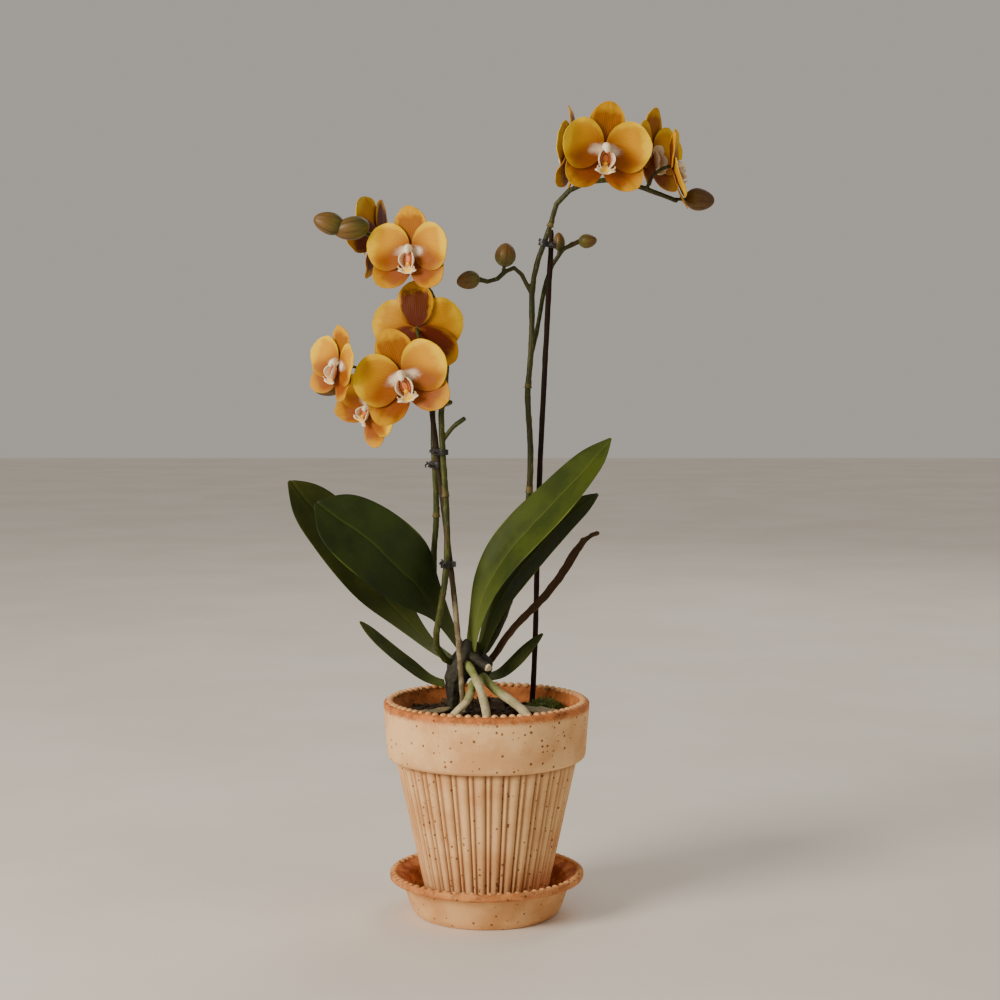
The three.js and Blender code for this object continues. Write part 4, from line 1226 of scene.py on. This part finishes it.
def side_lobe(side):
    # A curved wall beside the throat, tallest in its middle, with its rim curling inwards.
    def place(u, v):
        rise = (v + 1) / 2
        bulge = math.sin(math.pi * (0.08 + 0.86 * u))
        x = side * (0.9 + 5.6 * bulge ** 0.8 * (0.45 + 0.75 * rise - 0.35 * rise ** 3))
        y = -1.8 - 11.6 * u + 1.2 * rise * (0.5 - u)
        z = 2.4 + (6.6 * bulge ** 0.7) * rise
        return x, y, z
    return lobe(
        "side_lobe", place, 0.7,
        throat=lambda u, v: max(0.0, 1.0 - 0.62 * (v + 1)), yolk=lambda u, v: 0.25 * (1 - v) / 2)


def middle_lobe():
    # An anchor: narrow at the throat, widest near the end, with its two arms curling up.
    def place(u, v):
        outline = np.interp(u, [0, 0.2, 0.5, 0.75, 0.92, 1.0], [1.8, 2.0, 4.4, 7.2, 6.6, 4.2])
        x = v * outline
        arm = v * v
        y = -11.2 - 6.4 * u + 2.6 * arm * max(0.0, u - 0.3)
        z = 4.6 - 0.9 * u + 3.0 * arm * u + 1.6 * max(0.0, u - 0.7)
        return x, y, z
    return lobe(
        "middle_lobe", place, 1.1,
        throat=lambda u, v: 0.9 * max(0.0, 1 - 2.4 * u),
        yolk=lambda u, v: 0.95 * (1 - abs(v) ** 3) * min(1.0, 4.5 * (1.04 - u)))


def horn(side):
    # A thin tapering tube at one end of the anchor.
    def place(u, v):
        turn = v * math.pi
        radius = 0.75 * (1 - 0.8 * u) + 0.1
        reach = 5.2 * u
        x = side * (4.6 + 1.6 * math.sin(u * 2.2)) + radius * math.cos(turn)
        y = -14.6 + reach * 0.45 + radius * math.sin(turn) * 0.7
        z = 6.4 + reach * 0.5 + radius * math.sin(turn) * 0.7
        return x, y, z
    return lobe("horn", place, 0.25, lambda u, v: 0, lambda u, v: 0.25, rows=10, columns=10)


def model_lip():
    parts = [
        egg("column", (0, 1.0, 4.2), (3.0, 3.2, 4.2), throat=0.0, yolk=0.06),
        egg("column_cap", (0, -1.0, 7.4), (2.1, 2.3, 1.7), throat=0.0, yolk=0.0),
        egg("lip_base", (0, -7.0, 2.9), (3.9, 6.2, 1.7), throat=0.92, yolk=0.3),
        egg("callus", (0, -10.4, 4.9), (1.5, 1.5, 1.2), throat=0.25, yolk=1.0),
        side_lobe(1), side_lobe(-1), middle_lobe(), horn(1), horn(-1),
    ]
    return join_pieces(parts, "model_lip")

# %% [markdown]
# ### Where each flower goes
# A mesh's middle is weighed by the area of its faces, which doesn't depend on how the faces
# are split. The petals are the same on both sides, so their widest direction is the
# flower's left-right line. In the plane across that line, three middles are known on the
# model flower and on each CAD flower, and the turn that brings one to the other is the
# flower's turn.

# %% Reading a flower's frame


def weighed(node):
    # A node's points, its middle, and how its faces spread about that middle.
    piece = cad[node]
    points = points_of(piece)
    piece.data.calc_loop_triangles()
    corners = np.array([t.vertices[:] for t in piece.data.loop_triangles])
    a, b, c = points[corners[:, 0]], points[corners[:, 1]], points[corners[:, 2]]
    area = np.linalg.norm(np.cross(b - a, c - a), axis=1) / 2
    middle = ((a + b + c) / 3 * area[:, None]).sum(0) / area.sum()
    spread = np.zeros((3, 3))
    for p in (a, b, c, (a + b + c) / 3):
        spread += ((p - middle) * area[:, None]).T @ (p - middle)
    return points, middle, spread


# The three middles on the model flower, in its own plane: up (Y) and out (Z), in millimetres.
MODEL_MIDDLES = {"sepals": (-4.329, 1.059), "petals": (2.218, 3.025), "lip": (-7.879, 5.012)}
MODEL_HALF_SPAN = 31.19


def flower_frame(number):
    points, petals_middle, spread = weighed(f"flower_{number}_petals")
    line = np.linalg.eigh(spread)[1][:, 2]
    half_span = np.abs((points - petals_middle) @ line).max()
    scale = half_span / (MODEL_HALF_SPAN * MM)
    middles = {part: weighed(f"flower_{number}_{part}")[1] for part in ("sepals", "lip")}
    middles["petals"] = petals_middle
    first = np.cross(line, [0.0, 0.0, 1.0])
    first /= np.linalg.norm(first)
    best = None
    for right in (line, -line):
        # In the plane across the line, the turn is found as one complex number.
        second = np.cross(right, first)
        model = np.array([complex(*MODEL_MIDDLES[part]) for part in middles])
        real = np.array([complex(m @ first, m @ second) for m in middles.values()])
        model, real = model - model.mean(), real - real.mean()
        turn = (real * model.conj()).sum()
        miss = np.abs(real - turn / (abs(model) ** 2).sum() * model).sum()
        if best is None or miss < best[0]:
            turn /= abs(turn)
            up = first * turn.real + second * turn.imag
            out = -first * turn.imag + second * turn.real
            best = (miss, right, up, out)
    miss, right, up, out = best
    centre = petals_middle - (up * MODEL_MIDDLES["petals"][0] + out * MODEL_MIDDLES["petals"][1]) * scale * MM
    rows = [(right[k] * scale, up[k] * scale, out[k] * scale, centre[k]) for k in range(3)]
    facing = [round(v, 2) for v in out]
    print(f"flower {number}: scale {scale:.2f}, faces {facing}, off by {miss / MM:.2f} mm")
    return Matrix((*rows, (0, 0, 0, 1)))

# %% Ten flowers
model_lip_piece = model_lip()
SEPAL_LAYER, PETAL_LAYER = -2.2 * MM, 0.0
model_sets = [
    (tepals("model_sepals", SEPALS, SEPAL_LAYER, seed), tepals("model_petals", PETALS, PETAL_LAYER, seed))
    for seed in (0.0, 11.0, 23.0)
]
for number in range(1, 11):
    place_at = flower_frame(number)
    sepals_model, petals_model = model_sets[number % 3]
    for part, model, materials in (
        ("sepals", sepals_model, [sepal_gold, sepal_maroon]),
        ("petals", petals_model, [petal_gold, petal_back]),
        ("lip", model_lip_piece, [lip_white]),
    ):
        slots = np.array([face.material_index for face in model.data.polygons])
        piece = copy_of(model, f"orchid_{number}_{part}")
        points = points_of(piece)
        if part != "lip":
            far = np.linalg.norm(points[:, :2], axis=1) / PETAL_REACH
            sway = noise_over(points, 22 * MM, (number * 5.1, 0, 0))
            points[:, 2] += sway * far ** 2 * 2.2 * MM
            set_points(piece, points)
        piece.data.transform(place_at)
        piece.data.materials.clear()
        for material in materials:
            piece.data.materials.append(material)
        if part == "lip":
            slots = np.zeros_like(slots)
        piece.data.polygons.foreach_set("material_index", slots)
        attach(piece, "root")
        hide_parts(f"flower_{number}_{part}")
        pick(piece)
        bpy.ops.object.shade_smooth_by_angle(angle=math.radians(60))
        print(f"{piece.name}: {triangles_of(piece)} triangles")
for model in [model_lip_piece, *(piece for pair in model_sets for piece in pair)]:
    bpy.data.objects.remove(model)

# %% [markdown]
# ## Inside the pot
# The orchid grows in coarse bark. Chips of many sizes lie over each other, dark and damp in
# the gaps and greyer on top, with a few dry leaves, and a mound of moss at the right. Three
# chips are shaped from cubes, then copied, turned and dropped on to the surface by a ray
# cast straight down on the CAD medium. None falls on the dry leaves or the moss.

# %% Bark, moss and tie finishes


def bark_finish(name, light, dark, grey):
    r = Recipe(name)
    tone = r.painted("chip_tone")
    fibre = r.noise(2.2, 5, 0.7, r.stretched((0.35, 1.0, 1.0)))
    pits = r.noise(0.8, 4)
    colour = r.mix(r.band(fibre, 0.3, 0.7), dark, light)
    colour = r.mix(r.maths("MULTIPLY", tone, 0.7), colour, grey)
    colour = r.mix(r.band(pits, 0.55, 0.8, 0, 0.6), colour, rgb("17100a"))
    relief = r.bump(fibre, 0.6, 0.9, r.bump(pits, 0.25, 0.6))
    return r.finish(colour, r.band(fibre, 0.2, 0.8, 0.7, 0.95), relief, Specular_IOR_Level=0.1)


def moss_finish(name):
    r = Recipe(name)
    tone = r.painted("chip_tone")
    cloud = r.noise(5, 3)
    colour = r.mix(r.band(cloud, 0.35, 0.65), rgb("2b3512"), rgb("4c5a1e"))
    colour = r.mix(r.maths("MULTIPLY", tone, 0.6), colour, rgb("7c8436"))
    return r.finish(colour, 0.9, r.bump(r.noise(0.9, 3), 0.3, 0.8))


def tie_finish(name):
    r = Recipe(name)
    scuff = r.noise(1.4, 4)
    colour = r.mix(r.band(scuff, 0.45, 0.75), rgb("14110f"), rgb("2d2824"))
    return r.finish(colour, r.band(scuff, 0.2, 0.8, 0.36, 0.6), r.bump(scuff, 0.08, 0.5))


bark = bark_finish("bark_chips", rgb("3a2616"), rgb("140c06"), rgb("4e4230"))
moss_green = moss_finish("moss_green")
tie_black = tie_finish("tie_black")

# %% The bark bed
bed = welded_copy("growing_medium", "bark_bed")
start_editing(bed)
bpy.ops.mesh.quads_convert_to_tris()
bpy.ops.mesh.subdivide(number_cuts=2)
stop_editing()
attribute(bed, "chip_tone", np.zeros(len(bed.data.vertices)))
roughen(bed, 0.9 * MM, 5 * MM, seed=6)
finished(bed, "bark_mix", "growing_medium", materials=[bark])

# %% Three chips, modelled once


def bark_chip(seed):
    chip = start_from(bpy.ops.mesh.primitive_cube_add, "chip_model", size=1)
    start_editing(chip)
    bpy.ops.mesh.subdivide(number_cuts=2)
    bpy.ops.transform.vertex_random(offset=0.16, seed=seed)
    bpy.ops.mesh.bevel(offset=0.04, segments=1)
    stop_editing()
    roughen(chip, 0.12, 0.5, seed=seed)
    points = points_of(chip)
    points[:, 2] += 0.3 * points[:, 0] ** 2
    set_points(chip, points)
    return chip


models = [bark_chip(seed) for seed in (1, 2, 3)]

# %% Dropping the chips
CHIPS, CHIPS_DEEPEST, CHIPS_FROM_WALL, CLEAR_IN_FRONT = 360, 20 * MM, 5.5 * MM, 9 * MM
chance = random.Random(21)
medium = cad["growing_medium"]
medium_points = points_of(medium)
ground = BVHTree.FromPolygons(medium_points.tolist(), [face.vertices[:] for face in medium.data.polygons])
hollow_radii, hollow_heights = zip(*hollow[::-1])
mouth_radius = np.interp(medium_points[:, 2].max(), hollow_heights, hollow_radii)
keep_clear = [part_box(node) for node in ("dry_leaf_left", "dry_leaf_front", "dry_leaf_right", "moss")]
chips = []
for index in range(CHIPS):
    angle, share = chance.uniform(0, 2 * math.pi), math.sqrt(chance.random())
    spread = (mouth_radius - CHIPS_FROM_WALL) * share
    spot = Vector((spread * math.cos(angle), spread * math.sin(angle), pot_top))
    hit = ground.ray_cast(spot, Vector((0, 0, -1)))[0]
    if hit is None or hit.z < pot_top - CHIPS_DEEPEST:
        continue
    if any(
        low[0] < hit.x < high[0] and low[1] - CLEAR_IN_FRONT < hit.y < high[1] for low, high in keep_clear
    ):
        continue
    length = chance.uniform(7, 15) * MM * (1 if index % 4 else 0.6)
    chip = copy_of(chance.choice(models), "chip")
    tilt = Matrix.Rotation(chance.uniform(-0.45, 0.45), 4, "X")
    tilt = tilt @ Matrix.Rotation(chance.uniform(-0.4, 0.4), 4, "Y")
    turn = Matrix.Rotation(chance.uniform(0, 2 * math.pi), 4, "Z")
    width, height = length * chance.uniform(0.45, 0.8), length * chance.uniform(0.22, 0.38)
    lift = Matrix.Translation(hit + Vector((0, 0, chance.uniform(-0.6, 1.4) * MM)))
    chip.data.transform(lift @ turn @ tilt @ Matrix.Diagonal((length, width, height, 1)))
    attribute(chip, "chip_tone", np.full(len(chip.data.vertices), chance.random() ** 2))
    chips.append(chip)
print(len(chips), "chips")
bark_heap = join_pieces(chips, "bark_heap")
finished(bark_heap, "bark_mix", materials=[bark])
for model in models:
    bpy.data.objects.remove(model)

# %% Dry leaves on the bark
for index, node in enumerate(("dry_leaf_left", "dry_leaf_front", "dry_leaf_right")):
    scrap = rounded_copy(node, node + "_scrap")
    spots = points_of(scrap)
    along, across = along_and_across(spots, spots[0], 10)
    set_uv(scrap, along, across)
    # Lifted on to the bark chips, its far end more than its near one.
    spots[:, 2] += (2.2 + 1.6 * along) * MM
    set_points(scrap, spots)
    roughen(scrap, 1.1 * MM, 8 * MM, seed=index + 8)
    finished(scrap, "dry_leaf", node, materials=[dry_grey])

# %% [markdown]
# ### Moss
# The mound is a soft cushion. Its nap is made of short blades: one is modelled from a cone
# and copied all over the top of the mound, leaning outwards along the normal.

# %% A mound of moss
mound = rounded_copy("moss", "moss_cushion", levels=2)
roughen(mound, 1.6 * MM, 6 * MM, seed=12)
points, normals = points_of(mound), normals_of(mound)
attribute(mound, "chip_tone", np.zeros(len(points)))
finished(mound, "moss", "moss", materials=[moss_green])

# %% The moss's nap
BLADES = 620
cone = bpy.ops.mesh.primitive_cone_add
blade_model = start_from(
    cone, "blade_model", vertices=5, radius1=0.34 * MM, radius2=0.04 * MM, depth=2.6 * MM,
    location=(0, 0, 1.0 * MM))
settle(blade_model)
tops = [index for index in range(len(points)) if normals[index][2] > 0.1]
blades = []
for _ in range(BLADES):
    index = chance.choice(tops)
    lean = Vector(normals[index]) + Vector((chance.uniform(-0.7, 0.7), chance.uniform(-0.7, 0.7), 0.25))
    turn = lean.to_track_quat("Z", "Y").to_matrix().to_4x4()
    jitter = Vector((chance.uniform(-0.8, 0.8), chance.uniform(-0.8, 0.8), 0)) * MM
    blade = copy_of(blade_model, "blade")
    grow = chance.uniform(0.7, 1.3)
    blade.data.transform(Matrix.Translation(Vector(points[index]) + jitter) @ turn @ Matrix.Scale(grow, 4))
    attribute(blade, "chip_tone", np.full(len(blade.data.vertices), chance.random()))
    blades.append(blade)
nap = join_pieces(blades, "moss_nap")
finished(nap, "moss", materials=[moss_green])
bpy.data.objects.remove(blade_model)

# %% [markdown]
# ### Ties
# Black plastic-covered wire is twisted round each stalk and its stake. The loop is the CAD
# band, rounded, with a second turn laid above it. The tail is two short wires wound round
# each other: a small circle is carried along a list of points, and its rings are joined.

# %% A wire through a list of points


def wire(name, path, radius, sides=8):
    circle = bpy.ops.mesh.primitive_circle_add
    piece = start_from(circle, name, vertices=sides, radius=radius, fill_type="NGON")
    ring = [tuple(v.co) for v in piece.data.vertices]
    rings, faces = [], []
    for index, spot in enumerate(path):
        ahead = Vector(path[min(index + 1, len(path) - 1)]) - Vector(path[max(index - 1, 0)])
        turn = ahead.to_track_quat("Z", "Y").to_matrix()
        rings += [tuple(Vector(spot) + turn @ Vector(p)) for p in ring]
        if index:
            low, high = (index - 1) * sides, index * sides
            for k in range(sides):
                after = (k + 1) % sides
                faces.append((low + k, low + after, high + after, high + k))
    last = (len(path) - 1) * sides
    faces += [tuple(reversed(range(sides))), tuple(last + k for k in range(sides))]
    piece.data.clear_geometry()
    piece.data.from_pydata(rings, [], faces)
    return piece

# %% The path of a twisted tail
TAIL_STEPS, TAIL_WINDING, WIRE_RADIUS = 25, 11, 0.5 * MM


def tail_path(knot, side, index, strand):
    # The strand winds round a line that comes forwards from the knot, and opens near its end.
    path = []
    for step in range(TAIL_STEPS + 1):
        t = step / TAIL_STEPS
        wind = t * TAIL_WINDING + strand * math.pi
        out = Vector((side * (3 + index % 3) * t, -5.5 * t + 2.5 * t * t, (2.2 - index) * t * t + 1.5 * t))
        opening = 1 if t < 0.6 else 1 + (t - 0.6) * 5
        swirl = Vector((math.cos(wind), 0.3 * math.sin(wind), math.sin(wind))) * 0.55 * opening
        path.append(knot + (out + swirl) * MM)
    return path

# %% Loops and tails
for index, node in enumerate(("tie_left_low", "tie_left_high", "tie_left_back", "tie_right")):
    band = welded_copy(node, node + "_band")
    apply_modifier(
        band, "BEVEL", width=0.45 * MM, segments=3, limit_method="ANGLE", angle_limit=math.radians(40))
    low, high = points_of(band).min(0), points_of(band).max(0)
    middle = (low + high) / 2
    side = 1 if node == "tie_right" else -1
    knot = Vector((middle[0] + side * 1.5 * MM, low[1] - 0.2 * MM, middle[2]))
    tails = [wire("tail", tail_path(knot, side, index, strand), WIRE_RADIUS) for strand in (0, 1)]
    second = copy_of(band, "second_turn")
    lift = Matrix.Translation((0, 0, 1.9 * MM)) @ Matrix.Translation(middle)
    second.data.transform(lift @ Matrix.Rotation(0.12, 4, "Y") @ Matrix.Translation(-Vector(middle)))
    whole = join_pieces([band, second, *tails], node + "_wire")
    finished(whole, "tie", node, materials=[tie_black])

# %% [markdown]
# ## Floor, light and camera
# A wide pale floor and a plain, even surrounding keep attention on the plant. The main light
# is a large soft panel from the front left. A weak one from the right keeps the shaded side
# readable, and a third stands behind. The camera is above the middle of the plant and looks
# slightly down.

# %% Floor
floor = start_from(bpy.ops.mesh.primitive_plane_add, "floor", size=12, location=(0, 0, 0))
start_editing(floor)
bpy.ops.mesh.subdivide(number_cuts=4)
stop_editing()
r = Recipe("floor_pale")
soft = r.noise(240, 3)
colour = r.mix(r.band(soft, 0.3, 0.7), rgb("efe9e0"), rgb("e8e1d7"))
floor.data.materials.append(r.finish(colour, 0.8))

# %% Lights and surroundings
world = bpy.data.worlds.new("studio")
bpy.context.scene.world = world
world.use_nodes = True
background = world.node_tree.nodes["Background"]
background.inputs["Color"].default_value = (0.96, 0.89, 0.8, 1)
background.inputs["Strength"].default_value = 0.43


def panel(name, spot, aim, size, power, colour):
    bpy.ops.object.light_add(type="AREA", location=spot)
    light = bpy.context.active_object
    light.name = name
    light.data.size = size
    light.data.energy = power
    light.data.color = colour
    light.rotation_euler = (Vector(aim) - Vector(spot)).to_track_quat("-Z", "Y").to_euler()


panel("main_panel", (-1.65, -1.3, 1.0), (0, 0, 0.25), 0.9, 56, (1.0, 0.92, 0.8))
panel("fill_panel", (1.7, -1.2, 0.8), (0, 0, 0.3), 1.2, 2, (1.0, 0.93, 0.85))
panel("back_panel", (0.7, 1.7, 1.6), (0, 0, 0.35), 1.0, 9, (1.0, 0.96, 0.9))

# %% Camera
CAMERA_HEIGHT, CAMERA_DISTANCE, CAMERA_ASIDE, LOOKING_DOWN = 0.377, 1.316, 0.00915, 4.17
LENS, SENSOR = 70.6, 36
bpy.ops.object.camera_add(location=(CAMERA_ASIDE, -CAMERA_DISTANCE, CAMERA_HEIGHT))
camera = bpy.context.active_object
camera.rotation_euler = (math.radians(90 - LOOKING_DOWN), 0, 0)
camera.data.lens = LENS
camera.data.sensor_width = SENSOR
camera.data.clip_start = 0.05
camera.data.dof.use_dof = False
bpy.context.scene.camera = camera

# %% [markdown]
# ## Bringing the scene up to date
# The looks may stand only a little proud of the CAD model.

# %% Updating the scene
bpy.context.view_layer.update()
